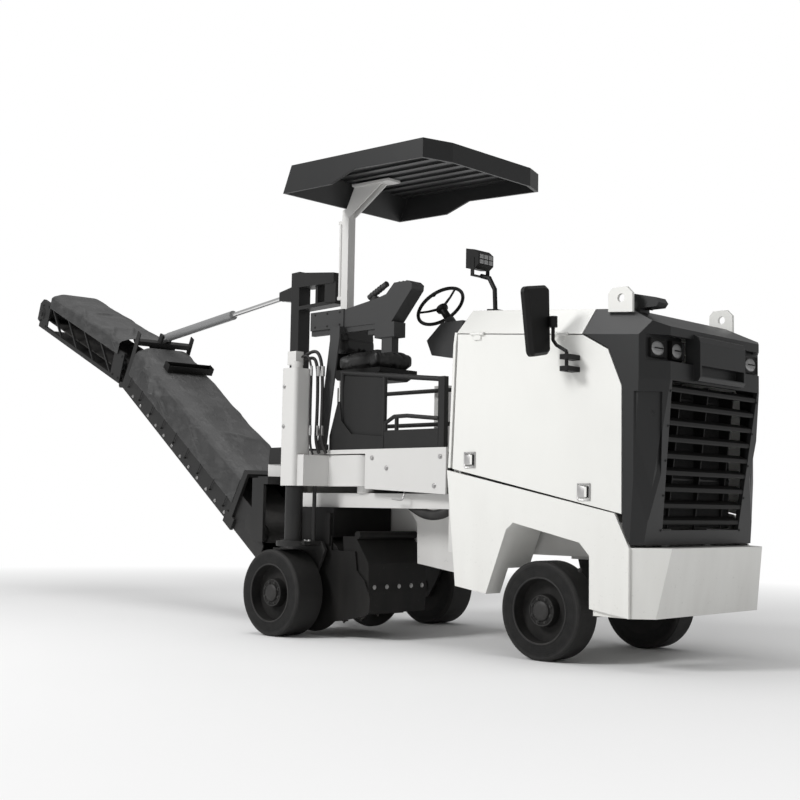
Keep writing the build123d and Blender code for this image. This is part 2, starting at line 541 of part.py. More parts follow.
WHEEL_X, WHEEL_Y, WHEEL_Z = 880.0, -210.0, 2320.0
WHEEL_TILT = 40.0
WHEEL_R = 190.0
tilt = math.radians(WHEEL_TILT)
COLUMN = Vector(-math.sin(tilt), 0, math.cos(tilt))
HUB = Vector(WHEEL_X, WHEEL_Y, WHEEL_Z)
COLUMN_L = 130.0
with BuildPart() as stand:
    profile([(835, 2072), (975, 2188), (1170, 2188), (1170, 1925), (885, 1965)], WHEEL_Y - 90, WHEEL_Y + 90)
    box(1170, HOOD_X0 + 30 - 2, WHEEL_Y - 50, WHEEL_Y + 50, 1925, 2050)
    box(1240, 1300, WHEEL_Y - 30, WHEEL_Y + 30, FLOOR_Z + SEAT, 1925)
    box(1200, 1340, WHEEL_Y - 70, WHEEL_Y + 70, FLOOR_Z + SEAT, FLOOR_Z + 14)
    along(tuple(HUB - COLUMN * (COLUMN_L + SEAT)), tuple(HUB - COLUMN * 300), radius=36, sides=12)
done("steering_stand", stand.part)
with BuildPart() as steering:
    rim = Plane(origin=HUB, z_dir=COLUMN)
    with BuildSketch(rim.offset(-11)) as ring:
        Circle(WHEEL_R)
        Circle(WHEEL_R - 26, mode=Mode.SUBTRACT)
    extrude(to_extrude=ring.sketch, amount=22)
    with BuildSketch(rim.offset(-26)) as spokes:
        for turn in (90, 210, 330):
            with Locations(Location((0, 0, 0), (0, 0, turn))):
                with Locations((88, 0)):
                    Rectangle(172, 24)
    extrude(to_extrude=spokes.sketch, amount=16)
    with BuildSketch(rim.offset(-COLUMN_L)) as boss:
        Circle(26)
    extrude(to_extrude=boss.sketch, amount=COLUMN_L + 6)
done("steering_wheel", steering.part)

# ---------------------------------------------------------------- canopy
CANOPY_FALL = 0.0305  # the roof falls this much per unit towards the grille
CANOPY_T = 18.0
STEP_X0, STEP_X1 = 418.0, 647.0


def roof_z(x):
    return CANOPY_Z - x * CANOPY_FALL


def canopy_outline(inset):
    """Side view: deep fascia behind, stepping up to the shallow front one."""
    return [(CANOPY_X0 + inset, roof_z(0) - 193), (STEP_X0 + inset, roof_z(STEP_X0) - 193),
            (STEP_X1 + inset, roof_z(STEP_X1) - 118), (CANOPY_X1, roof_z(CANOPY_X1) - 131),
            (CANOPY_X1, roof_z(CANOPY_X1)), (0, roof_z(0))]


with BuildPart() as canopy_core:
    profile([(CANOPY_X0 - 40, roof_z(0) - 260), (CANOPY_X0 + CANOPY_T, roof_z(0) - 193), (CANOPY_T, roof_z(0) - CANOPY_T),
             (CANOPY_X1 - CANOPY_T, roof_z(CANOPY_X1) - CANOPY_T), (CANOPY_X1 - CANOPY_T, roof_z(CANOPY_X1) - 260)],
            CANOPY_Y0 + CANOPY_T, CANOPY_Y1 - CANOPY_T)
    plan([(CANOPY_X1 - 95, CANOPY_Y0 + 1), (CANOPY_X1 + 5, CANOPY_Y0 + 1), (CANOPY_X1 + 5, CANOPY_Y0 + 240),
          (CANOPY_X1 - CANOPY_T, CANOPY_Y0 + 240)], 2900, 3500, mode=Mode.SUBTRACT)
    plan([(CANOPY_X1 - 95, CANOPY_Y1 - 1), (CANOPY_X1 + 5, CANOPY_Y1 - 1), (CANOPY_X1 + 5, CANOPY_Y1 - 200),
          (CANOPY_X1 - CANOPY_T, CANOPY_Y1 - 200)], 2900, 3500, mode=Mode.SUBTRACT)
POST_X, POST_Y = -60.0, -230.0
RIB_Z = 14.0
with BuildPart() as canopy:
    profile(canopy_outline(0), CANOPY_Y0, CANOPY_Y1)
    plan([(CANOPY_X1 - 70, CANOPY_Y0 - 5), (CANOPY_X1 + 5, CANOPY_Y0 - 5), (CANOPY_X1 + 5, CANOPY_Y0 + 230)], 2900, 3500,
         mode=Mode.SUBTRACT)
    plan([(CANOPY_X1 - 70, CANOPY_Y1 + 5), (CANOPY_X1 + 5, CANOPY_Y1 + 5), (CANOPY_X1 + 5, CANOPY_Y1 - 190)], 2900, 3500,
         mode=Mode.SUBTRACT)
    add(canopy_core.part, mode=Mode.SUBTRACT)
    for k in range(9):
        y = CANOPY_Y0 + 110 + k * 123
        profile([(40, roof_z(40) - CANOPY_T - RIB_Z), (40, roof_z(40) - CANOPY_T), (CANOPY_X1 - 120, roof_z(CANOPY_X1 - 120) - CANOPY_T),
                 (CANOPY_X1 - 120, roof_z(CANOPY_X1 - 120) - CANOPY_T - RIB_Z)], y, y + 40)
done("canopy_roof", canopy.part)
POST_TOP = 3140.0


def under(x):
    """Height just below the canopy's ribs at x."""
    return roof_z(x) - CANOPY_T - RIB_Z - SEAT


with BuildPart() as canopy_post:
    box(POST_X - 35, POST_X + 35, POST_Y - 35, POST_Y + 35, FLOOR_Z + SEAT, POST_TOP)
    profile([(30, under(30) - 18), (30, under(30)), (420, under(420)), (420, under(420) - 18)], POST_Y - 60, POST_Y + 60)
    for y in (POST_Y - 35, POST_Y + 25):
        profile([(POST_X - 35, POST_TOP - 60), (POST_X - 35, POST_TOP), (POST_X + 10, POST_TOP + 8), (35, under(35) - 10),
                 (330, under(330) - 10), (110, POST_TOP + 20), (POST_X + 35, POST_TOP - 60)], y, y + 10)
    box(POST_X - 90, POST_X + 90, POST_Y - 70, POST_Y + 70, FLOOR_Z + SEAT, FLOOR_Z + 16)
    along((POST_X - 60, POST_Y - 20, 2470), (POST_X - 60, POST_Y - 20, 3060), radius=14, sides=12)
    for z in (2470, 3045):
        box(POST_X - 76, POST_X - 30, POST_Y - 34, POST_Y - 6, z - 10, z + 14)
done("canopy_post", canopy_post.part)

# ---------------------------------------------------------------- milling unit
HOUSING_Y0, HOUSING_Y1 = DRUM_Y0 - 30, DRUM_Y1 + 40
SHIELD_Y0 = HOUSING_Y0 - SEAT  # the right side plate slides on the housing's wall
SHIELD_T = 15.0
DRUM_SHAFT = 40.0
GUIDES = (DRUM_X - 170, DRUM_X + 170)
with BuildPart() as housing:
    disc((DRUM_X, DRUM_Z), HOUSING_R + HOUSING_T, HOUSING_Y0, HOUSING_Y1)
    box(DRUM_X - HOUSING_R - HOUSING_T, DRUM_X + HOUSING_R + HOUSING_T, HOUSING_Y0, HOUSING_Y1, 150, DRUM_Z)
    disc((DRUM_X, DRUM_Z), HOUSING_R, HOUSING_Y0 + 15, HOUSING_Y1 - 15, mode=Mode.SUBTRACT)
    box(DRUM_X - HOUSING_R, DRUM_X + HOUSING_R, HOUSING_Y0 + 15, HOUSING_Y1 - 15, 0, DRUM_Z, mode=Mode.SUBTRACT)
    box(DRUM_X - 200, DRUM_X + 200, HOUSING_Y0, HOUSING_Y1, DRUM_Z + 318, 900 - SEAT)
    # front: pipe, plate and hanging flap; hood to the conveyor behind
    profile([(DRUM_X + 340, 330), (DRUM_X + 300, 700), (DRUM_X + 430, 700), (DRUM_X + 560, 520), (DRUM_X + 566, 330),
             (DRUM_X + 550, 180), (DRUM_X + 535, 180), (DRUM_X + 545, 330)], HOUSING_Y0, HOUSING_Y1)
    disc((DRUM_X + 445, 712), 26, HOUSING_Y0, HOUSING_Y1)
    plan([(DRUM_X - 340, -600), (DRUM_X - 340, -110), (CHUTE_X0, 130), (CHUTE_X0, -260)], 340, 650)
    plan([(DRUM_X - 330, -588), (DRUM_X - 330, -122), (CHUTE_X0 - 5, 118), (CHUTE_X0 - 5, -248)], 352, 638,
         mode=Mode.SUBTRACT)
    box(DRUM_X - 350, DRUM_X - 320, -588, -122, 352, 638, mode=Mode.SUBTRACT)
    disc((DRUM_X, DRUM_Z), DRUM_SHAFT + SEAT, HOUSING_Y0 - 10, HOUSING_Y1 + 10, mode=Mode.SUBTRACT)
    # guides of the side plate
    for x in GUIDES:
        box(x - 22, x + 22, SHIELD_Y0 - SHIELD_T - SEAT - 12, SHIELD_Y0 - SHIELD_T - SEAT, 640, 860)
        box(x - 22, x + 22, SHIELD_Y0 - SHIELD_T - SEAT - 12, HOUSING_Y0 + 5, 830, 860)
done("drum_housing", housing.part)

PICK_RINGS = 5
PICK_ROWS = 10
with BuildPart() as drum:
    disc((DRUM_X, DRUM_Z), DRUM_R, DRUM_Y0, DRUM_Y1)
    disc((DRUM_X, DRUM_Z), DRUM_SHAFT, HOUSING_Y0 + 2, HOUSING_Y1 - 2)
    for ring_no in range(PICK_RINGS):
        y = DRUM_Y0 + 40 + ring_no * (DRUM_Y1 - DRUM_Y0 - 80) / (PICK_RINGS - 1)
        for k in range(PICK_ROWS):
            a = math.radians(360 / PICK_ROWS * k + 14 * ring_no)
            ux, uz = math.cos(a), math.sin(a)
            along((DRUM_X + (DRUM_R - 6) * ux, y, DRUM_Z + (DRUM_R - 6) * uz),
                  (DRUM_X + PICK_R * ux + 18 * uz, y, DRUM_Z + PICK_R * uz - 18 * ux), size=(40, 44))
done("milling_drum", drum.part)

with BuildPart() as shield:
    profile([(-330, 110), (340, 110), (420, 120), (640, 165), (690, 205), (695, 290), (640, 400), (560, 470),
             (540, 600), (-330, 600)], SHIELD_Y0, SHIELD_Y0 - SHIELD_T)
    for x in GUIDES:
        box(x - 30, x + 30, SHIELD_Y0 - SHIELD_T, SHIELD_Y0, 600, 700)
done("side_shield_right", shield.part)

# ---------------------------------------------------------------- wheels and legs
HUB_R = 90.0
RIM_DEPTH = 75.0


def wheel(name, x, y, width, side):
    """A solid tyre on a dished rim, turned as one piece; side is -1 with the dish to the right."""
    r, w = WHEEL_D / 2, width / 2
    pts = [(0, -w), (r - 14, -w), (r, -w + 14), (r, w - 14), (r - 14, w), (RIM_D / 2, w), (RIM_D / 2 - 14, w - RIM_DEPTH),
           (HUB_D / 2 + 6, w - RIM_DEPTH), (HUB_D / 2, w - 24), (0, w - 24)]
    with BuildPart() as tyre:
        with BuildSketch(Plane(origin=(x, y, WHEEL_D / 2), x_dir=(1, 0, 0), z_dir=(0, 0, 1))) as half:
            Polygon(*[(a, side * b) for a, b in pts], align=None)
        revolve(profiles=half.sketch, axis=Axis((x, y, WHEEL_D / 2), (0, 1, 0)), revolution_arc=360)
    done(name, tyre.part)


wheel("wheel_front_right", WHEELBASE, -FRONT_Y, FRONT_W, -1)
wheel("wheel_front_left", WHEELBASE, FRONT_Y, FRONT_W, 1)
wheel("wheel_rear_right", 0, REAR_RIGHT_Y, REAR_W, -1)
wheel("wheel_rear_left", 0, REAR_LEFT_Y, REAR_W, 1)

KING_R = 40.0
FORK_Z = (200.0, 240.0, 380.0, 420.0)
with BuildPart() as axle:
    box(WHEELBASE - 60, WHEELBASE + 60, -KING_Y + 60, KING_Y - 60, FORK_Z[1], FORK_Z[2])
    profile([(WHEELBASE - 120, FRAME_Z0 - 20 - SEAT), (WHEELBASE - 60, FORK_Z[2]), (WHEELBASE + 60, FORK_Z[2]),
             (WHEELBASE + 120, FRAME_Z0 - 20 - SEAT)], -90, 90)
    for side in BOTH:
        for z0, z1 in ((FORK_Z[0], FORK_Z[1]), (FORK_Z[2], FORK_Z[3])):
            box(WHEELBASE - 60, WHEELBASE + 60, side * (KING_Y - 90), side * (KING_Y + 45), z0, z1)
done("front_axle", axle.part)
for name, side in MIRRORED:
    with BuildPart() as knuckle:
        post(WHEELBASE, side * KING_Y, KING_R, FORK_Z[1] + SEAT, FORK_Z[2] - SEAT)
        y_in = FRONT_Y - FRONT_W / 2
        disc((WHEELBASE, WHEEL_D / 2), 52, side * KING_Y, side * (y_in - 20))
        disc((WHEELBASE, WHEEL_D / 2), HUB_R - 10, side * (y_in - 22), side * (y_in - SEAT))
    done(f"knuckle_{name}", knuckle.part)

# swing arm: sleeve, neck and a flat-faced casing about the pin
ROD_X, ROD_Y = 215.0, -762.0
GUIDE_R = 14.0
with BuildPart() as arm:
    plan([(LEG_X - SLEEVE / 2, REAR_RIGHT_Y - SLEEVE / 2), (LEG_X + SLEEVE / 2, REAR_RIGHT_Y - SLEEVE / 2),
          (LEG_X + SLEEVE / 2, REAR_RIGHT_Y + SLEEVE / 2), (LEG_X - SLEEVE / 2, REAR_RIGHT_Y + SLEEVE / 2)],
         SLEEVE_Z0, SLEEVE_Z1, round_at=30)
    head = SWING_Y - HEAD_R
    plan([(150, REAR_RIGHT_Y + 60), (150, REAR_RIGHT_Y - 50), (236, REAR_RIGHT_Y - 40), (262, head), (SWING_X, head),
          (SWING_X, SWING_Y + HEAD_R), (400, SWING_Y + 90), (232, SWING_Y)], ARM_Z0, ARM_Z1)
    post(SWING_X, SWING_Y, HEAD_R, ARM_Z0, ARM_Z1)
    # flange on the sleeve and the small reservoir on top of it
    post(LEG_X, REAR_RIGHT_Y, 40, SLEEVE_Z1, SLEEVE_Z1 + 50)
    box(LEG_X - 75, LEG_X + 15, REAR_RIGHT_Y - 25, REAR_RIGHT_Y + 45, SLEEVE_Z1 + 30, SLEEVE_Z1 + 125)
    post(LEG_X, REAR_RIGHT_Y, LEG_R + SEAT, SLEEVE_Z0 - 1, SLEEVE_Z1 - 20, mode=Mode.SUBTRACT)
    post(ROD_X, ROD_Y, GUIDE_R + SEAT, ARM_Z0 - 1, ARM_Z1 - 10, mode=Mode.SUBTRACT)
    post(SWING_X, SWING_Y, SWING_PIN, ARM_Z0 - 1, ARM_Z1 + 1, mode=Mode.SUBTRACT)
done("swing_arm", arm.part)

LIFT_UP = 200.0  # travel of the legs above this pose
LEG_TOP = SLEEVE_Z1 - 20 - LIFT_UP - 40
for name, side in MIRRORED:
    y = REAR_RIGHT_Y if side < 0 else REAR_LEFT_Y
    with BuildPart() as leg:
        post(LEG_X, y, LEG_R, 660, LEG_TOP)
        post(LEG_X, y, 118, WHEEL_D + 26, WHEEL_D + 62)
        inner = y - side * REAR_W / 2
        a, b = inner - side * 10, inner - side * 32
        box(-60, 240, y + side * 20, b, WHEEL_D + 38, WHEEL_D + 62)
        profile([(-90, 662), (250, 662), (290, 600), (150, 330), (70, 215), (-70, 215), (-110, 330), (-120, 560)], a, b)
        disc((0, WHEEL_D / 2), HUB_R, inner - side * SEAT, b)
        disc((0, WHEEL_D / 2), 62, b, b - side * 10)
        if side < 0:
            post(ROD_X, ROD_Y, GUIDE_R, 655, ARM_Z0 + 5)
    done(f"leg_{name}", leg.part)

# ---------------------------------------------------------------- conveyor
slew = math.radians(SLEW_DEG)
BACK = Vector(-math.cos(slew), math.sin(slew), 0)
ACROSS = Vector(math.sin(slew), math.cos(slew), 0)
S0 = Vector(SLEW_X, SLEW_Y, 0)


def conv_plane(s, z, deg, off=0.0):
    """The plane of the conveyor's middle: x up the slope, y up from it, normal to the left."""
    a = math.radians(deg)
    x_dir = BACK * math.cos(a) + Vector(0, 0, 1) * math.sin(a)
    return Plane(origin=S0 + BACK * s + Vector(0, 0, z) + ACROSS * off, x_dir=x_dir, z_dir=ACROSS)


def slab(plane, pts, a, b, mode=Mode.ADD):
    """A solid with the outline pts in the plane, from a to b across the conveyor."""
    with BuildSketch(plane.offset(min(a, b))) as face:
        Polygon(*pts, align=None)
    extrude(to_extrude=face.sketch, amount=abs(b - a), dir=tuple(plane.z_dir), mode=mode)


def roll(plane, at, radius, a, b, mode=Mode.ADD):
    with BuildSketch(plane.offset(min(a, b))) as face:
        with Locations(at):
            Circle(radius)
    extrude(to_extrude=face.sketch, amount=abs(b - a), dir=tuple(plane.z_dir), mode=mode)


FLAT = conv_plane(0, 0, 0)
FOOT_S, FOOT_Z = 110.0, 480.0
LOW = conv_plane(FOOT_S, FOOT_Z, LOW_DEG)
la, ua = math.radians(LOW_DEG), math.radians(UP_DEG)
BEND_S = FOOT_S + LOW_LEN * math.cos(la)
BEND_Z = FOOT_Z + LOW_LEN * math.sin(la)
UP = conv_plane(BEND_S, BEND_Z, UP_DEG)
EYE_S, EYE_Z = 200.0, 2600.0

PIVOT_S, PIVOT_Z = 170.0, 760.0  # luffing pivot at the foot
BEAM_S, BEAM_Z = 2170.0, 2440.0  # cross beam that takes the lift cylinder
ARM_IN = CONV_HALF + 12.0
BARREL_R = 40.0
ROD_R = 20.0
EYE_HOLE = 14.0
MAST_HALF = 55.0
YOKE_Z = 1230.0  # top of the slewing bracket


def in_low(s, z):
    """A point of the upright middle plane, in the lower section's own plane."""
    a = math.radians(LOW_DEG)
    ds, dz = s - FOOT_S, z - FOOT_Z
    return (ds * math.cos(a) + dz * math.sin(a), -ds * math.sin(a) + dz * math.cos(a))


with BuildPart() as yoke:
    slab(FLAT, [(-MAST_HALF, YOKE_Z + 10), (MAST_HALF, YOKE_Z + 10), (MAST_HALF, MAST_Z), (-MAST_HALF, MAST_Z)],
         -MAST_HALF, MAST_HALF)
    slab(FLAT, [(-120, YOKE_Z + SEAT), (120, YOKE_Z + SEAT), (100, YOKE_Z + 130), (-100, YOKE_Z + 130)], -190, 190)
    # valve bank in its frame on the front of the mast
    slab(FLAT, [(-540, MAST_Z - 150), (-MAST_HALF + 5, MAST_Z - 130), (-MAST_HALF + 5, MAST_Z - 10),
                (-540, MAST_Z - 70)], -75, 75)
    slab(FLAT, [(-560, MAST_Z - 300), (-420, MAST_Z - 290), (-420, MAST_Z - 120), (-560, MAST_Z - 140)], -70, 70)
    slab(FLAT, [(-300, MAST_Z - 310), (-270, MAST_Z - 310), (-270, MAST_Z - 110), (-300, MAST_Z - 110)], -50, 50)
    slab(FLAT, [(-540, MAST_Z - 310), (-MAST_HALF + 5, MAST_Z - 310), (-MAST_HALF + 5, MAST_Z - 280),
                (-540, MAST_Z - 280)], -60, 60)
    slab(FLAT, [(-MAST_HALF + 5, YOKE_Z + 80), (-MAST_HALF - 45, YOKE_Z + 80), (-MAST_HALF - 45, YOKE_Z + 520),
                (-MAST_HALF + 5, YOKE_Z + 600)], -30, 30)
    for y in (-52, 32):
        slab(FLAT, [(MAST_HALF - 5, EYE_Z - 60), (MAST_HALF - 5, EYE_Z + 60), (EYE_S + 30, EYE_Z + 35),
                    (EYE_S + 30, EYE_Z - 35)], y, y + 20)
    roll(FLAT, (EYE_S, EYE_Z), 12, -52, 52)
    with BuildSketch(Plane(origin=(SLEW_X, SLEW_Y, 1080), z_dir=(0, 0, 1))) as pin:
        Circle(SLEW_PIN - SEAT)
    extrude(to_extrude=pin.sketch, amount=160)
    slab(FLAT, [(-70, 1070), (70, 1070), (70, 1129.7), (-70, 1129.7)], -ARM_IN - 25, ARM_IN + 25)
    for y in (-ARM_IN - 25, ARM_IN):
        slab(FLAT, [(-10, 1120), (150, 1120), (150, PIVOT_Z + 110), (PIVOT_S + 60, PIVOT_Z + 40),
                    (PIVOT_S + 60, PIVOT_Z - 60), (60, 620), (-10, 620)], y, y + 25)
    roll(FLAT, (PIVOT_S, PIVOT_Z), PIN, -ARM_IN - 25, -CONV_HALF + 15)
    roll(FLAT, (PIVOT_S, PIVOT_Z), PIN, CONV_HALF - 15, ARM_IN + 25)
done("conveyor_yoke", yoke.part)

SIDE_T = 8.0
EYE_OUT = 32.0
FOLD_R = 28.0
HOOP_V = 470.0
BELT_HALF = 200.0
BELT_T = 12.0
BELT_R = 70.0
BELT_V = 150.0
LOW_BELT = (130.0, LOW_LEN - 190)
UP_BELT = (165.0, UP_LEN - 90)
UP_BELT_V = 145.0
low_piv = in_low(PIVOT_S, PIVOT_Z)
low_beam = in_low(BEAM_S, BEAM_Z)
with BuildPart() as low:
    for y in (-CONV_HALF, CONV_HALF - SIDE_T):
        slab(LOW, [(-10, 0), (LOW_LEN - 30, 0), (LOW_LEN - 30, TRUSS_H), (230, TRUSS_H), (-10, 130)], y, y + SIDE_T)
        roll(LOW, low_piv, PIN + 20, y, y + SIDE_T)
        slab(LOW, [(low_beam[0] - 60, TRUSS_H - 20), (LOW_LEN - 30, TRUSS_H - 20), (low_beam[0] + 30, low_beam[1] + 30),
                   (low_beam[0] - 30, low_beam[1] + 30)], y, y + SIDE_T)
    slab(LOW, [(0, 0), (LOW_LEN - 30, 0), (LOW_LEN - 30, 10), (0, 10)], -CONV_HALF, CONV_HALF)
    for k in range(4):
        u = 300 + k * (LOW_LEN - 30 - 60 - 300) / 3
        slab(LOW, [(u, 5), (u + 40, 5), (u + 40, 50), (u, 50)], -CONV_HALF, CONV_HALF)
    for u in (LOW_BELT[0], LOW_BELT[1]):
        roll(LOW, (u, BELT_V), BELT_R - BELT_T - SEAT, -CONV_HALF + 2, CONV_HALF - 2)
    # hoop that holds the lower end of the cloth, and the pads beside it
    for y in (-CONV_HALF - 25, CONV_HALF):
        slab(LOW, [(470, 60), (530, 60), (530, HOOP_V), (470, HOOP_V)], y, y + 25)
        slab(LOW, [(430, -12), (570, -12), (570, 90), (430, 90)], y, y + 25)
    slab(LOW, [(470, HOOP_V - 5), (530, HOOP_V - 5), (530, HOOP_V + 25), (470, HOOP_V + 25)],
         -CONV_HALF - 25, CONV_HALF + 25)
    slab(LOW, [(low_beam[0] - 30, low_beam[1] - 90), (low_beam[0] + 30, low_beam[1] - 90),
               (low_beam[0] + 30, low_beam[1] - 45), (low_beam[0] - 30, low_beam[1] - 45)], -CONV_HALF, CONV_HALF)
    for y in (-EYE_OUT - 20, EYE_OUT):
        slab(LOW, [(low_beam[0] - 30, low_beam[1] - 90), (low_beam[0] + 30, low_beam[1] - 90),
                   (low_beam[0] + 30, low_beam[1] + 30), (low_beam[0] - 30, low_beam[1] + 30)], y, y + 20)
    roll(LOW, low_beam, EYE_HOLE, -EYE_OUT - 20, EYE_OUT + 20)
    for y in (-CONV_HALF - 6, CONV_HALF - SIDE_T - 6):
        roll(LOW, low_piv, PIN + SEAT, y, y + SIDE_T + 12, mode=Mode.SUBTRACT)
    for y in (-CONV_HALF, CONV_HALF - 30):
        roll(LOW, (LOW_LEN, 0), FOLD_R, y, y + 30)
        slab(LOW, [(LOW_LEN - 60, 0), (LOW_LEN, -FOLD_R), (LOW_LEN, FOLD_R), (LOW_LEN - 60, 60)], y, y + 30)
    for y in (-CONV_HALF, CONV_HALF - 64):
        roll(LOW, (LOW_LEN, 0), EYE_HOLE, y, y + 64)
done("conveyor_lower", low.part)


def belt(plane, u0, u1, v, radius):
    with BuildSketch(plane.offset(-BELT_HALF)) as loop:
        with Locations(((u0 + u1) / 2, v)):
            SlotOverall(u1 - u0 + 2 * radius, 2 * radius)
            SlotOverall(u1 - u0 + 2 * (radius - BELT_T), 2 * (radius - BELT_T), mode=Mode.SUBTRACT)
    extrude(to_extrude=loop.sketch, amount=2 * BELT_HALF, dir=tuple(plane.z_dir))


with BuildPart() as low_belt:
    belt(LOW, *LOW_BELT, BELT_V, BELT_R)
done("belt_lower", low_belt.part)


COVER_T = 10.0
COVER_OUT = COVER_T + SEAT  # the cloth lies against the side plates
LOW_RISE = 170.0
UP_RISE = 120.0


def cover(plane, u0, u1, rise, hang):
    """A cloth stretched over hoops: an arch with short falls down both sides, as one thick sheet."""
    outer = CONV_HALF + COVER_OUT
    line = [(-outer, hang), (-outer, -rise * 0.62), (-outer * 0.62, -rise), (outer * 0.62, -rise),
            (outer, -rise * 0.62), (outer, hang)]
    t = COVER_T
    inner = [(outer - t, hang), (outer - t, -rise * 0.62 + t / 2), (outer * 0.62 - t / 2, -rise + t),
             (-outer * 0.62 + t / 2, -rise + t), (-outer + t, -rise * 0.62 + t / 2), (-outer + t, hang)]
    with BuildSketch(Plane(origin=plane.from_local_coords((u0, TRUSS_H, 0)), x_dir=plane.z_dir,
                           z_dir=plane.x_dir)) as arch:
        Polygon(*line, *inner, align=None)
    extrude(to_extrude=arch.sketch, amount=u1 - u0, dir=tuple(plane.x_dir))


with BuildPart() as low_cover:
    cover(LOW, 545, low_beam[0] - 75, LOW_RISE, 120)
done("cover_lower", low_cover.part)

UP_TIP = UP_LEN - 260
with BuildPart() as up:
    for y in (-CONV_HALF, CONV_HALF - 30):
        slab(UP, [(40, 0), (UP_LEN - 60, 0), (UP_LEN - 60, 40), (40, 40)], y, y + 30)
        slab(UP, [(40, TRUSS_H - 40), (UP_LEN - 60, TRUSS_H - 40), (UP_LEN - 60, TRUSS_H), (40, TRUSS_H)], y, y + 30)
        slab(UP, [(UP_TIP, 0), (UP_LEN, 60), (UP_LEN, 230), (UP_LEN - 60, TRUSS_H), (UP_TIP, TRUSS_H)], y, y + 10)
        slab(UP, [(40, 0), (240, 0), (240, TRUSS_H), (40, TRUSS_H)], y, y + 10)
        for k in range(4):
            u = 235 + k * (UP_TIP - 240) / 4
            slab(UP, [(u, 20), (u + 30, 20), (u + (UP_TIP - 240) / 4, TRUSS_H - 20),
                      (u + (UP_TIP - 240) / 4 - 30, TRUSS_H - 20)], y + 5, y + 25)
    slab(UP, [(60, 0), (UP_TIP, 0), (UP_TIP, 10), (60, 10)], -CONV_HALF, CONV_HALF)
    for u in UP_BELT:
        roll(UP, (u, UP_BELT_V), BELT_R - BELT_T - SEAT, -CONV_HALF + 2, CONV_HALF - 2)
    for y in (-CONV_HALF + 31, CONV_HALF - 61):
        roll(UP, (0, 0), FOLD_R, y, y + 30)
        slab(UP, [(0, -FOLD_R), (0, FOLD_R), (80, 60), (80, 0)], y, y + 30)
        roll(UP, (0, 0), EYE_HOLE + SEAT, y - 1, y + 31, mode=Mode.SUBTRACT)
done("conveyor_upper", up.part)

with BuildPart() as up_belt:
    belt(UP, *UP_BELT, UP_BELT_V, BELT_R)
done("belt_upper", up_belt.part)

with BuildPart() as up_cover:
    cover(UP, 150, UP_LEN - 270, UP_RISE, 40)
done("cover_upper", up_cover.part)

way = Vector(EYE_S - BEAM_S, EYE_Z - BEAM_Z, 0)
CYL_L = way.length
CYL = conv_plane(BEAM_S, BEAM_Z, 180 - math.degrees(math.atan2(way.Y, -way.X)))
BARREL_END = 1100.0
with BuildPart() as barrel:
    roll(CYL, (0, 0), 34, -EYE_OUT + SEAT, EYE_OUT - SEAT)
    slab(CYL, [(0, -25), (75, -25), (75, 25), (0, 25)], -EYE_OUT + SEAT, EYE_OUT - SEAT)
    with BuildSketch(Plane(origin=CYL.from_local_coords((70, 0, 0)), z_dir=CYL.x_dir)) as tube:
        Circle(BARREL_R)
    extrude(to_extrude=tube.sketch, amount=BARREL_END)
    roll(CYL, (0, 0), EYE_HOLE + SEAT, -EYE_OUT - 1, EYE_OUT + 1, mode=Mode.SUBTRACT)
    with BuildSketch(Plane(origin=CYL.from_local_coords((100, 0, 0)), z_dir=CYL.x_dir)) as bore:
        Circle(ROD_R + SEAT)
    extrude(to_extrude=bore.sketch, amount=BARREL_END, mode=Mode.SUBTRACT)
done("lift_barrel", barrel.part)
ROD_X0 = 600.0
EYE_IN, EYE_RIM = 26.0, 42.0
with BuildPart() as rod:
    with BuildSketch(Plane(origin=CYL.from_local_coords((ROD_X0, 0, 0)), z_dir=CYL.x_dir)) as stem:
        Circle(ROD_R)
    extrude(to_extrude=stem.sketch, amount=CYL_L - ROD_X0 - EYE_IN - 6)
    roll(CYL, (CYL_L, 0), EYE_RIM, -EYE_OUT + SEAT, EYE_OUT - SEAT)
    roll(CYL, (CYL_L, 0), EYE_IN, -EYE_OUT - 1, EYE_OUT + 1, mode=Mode.SUBTRACT)
done("lift_rod", rod.part)

# ---------------------------------------------------------------- seat the machine on its own origin
boxes = [piece.bounding_box() for piece in finished]
SHIFT = Vector(
    -(min(b.min.X for b in boxes) + max(b.max.X for b in boxes)) / 2,
    -(min(b.min.Y for b in boxes) + max(b.max.Y for b in boxes)) / 2,
    -min(b.min.Z for b in boxes),
)
for piece in finished:
    export_step(piece.moved(Location(SHIFT)), f"parts/{piece.label}.step")
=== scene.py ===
# %% [markdown]
# # A compact wheeled cold planer
# A cold planer peels worn asphalt off a road with a drum full of picks and throws it up a
# belt conveyor. The machine was drawn and jointed in CAD. This script dresses it: it loads
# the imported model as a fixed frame, gives each piece its finish, adds the soft and the small
# pieces, and lights it in a plain studio. All lengths are metres in the CAD model's frame:
# +X forward to the grille, +Y to the machine's left, +Z up, the ground at z = 0.

# %% Load the frame
import math
import bmesh
import bpy
from mathutils import Matrix, Vector, noise


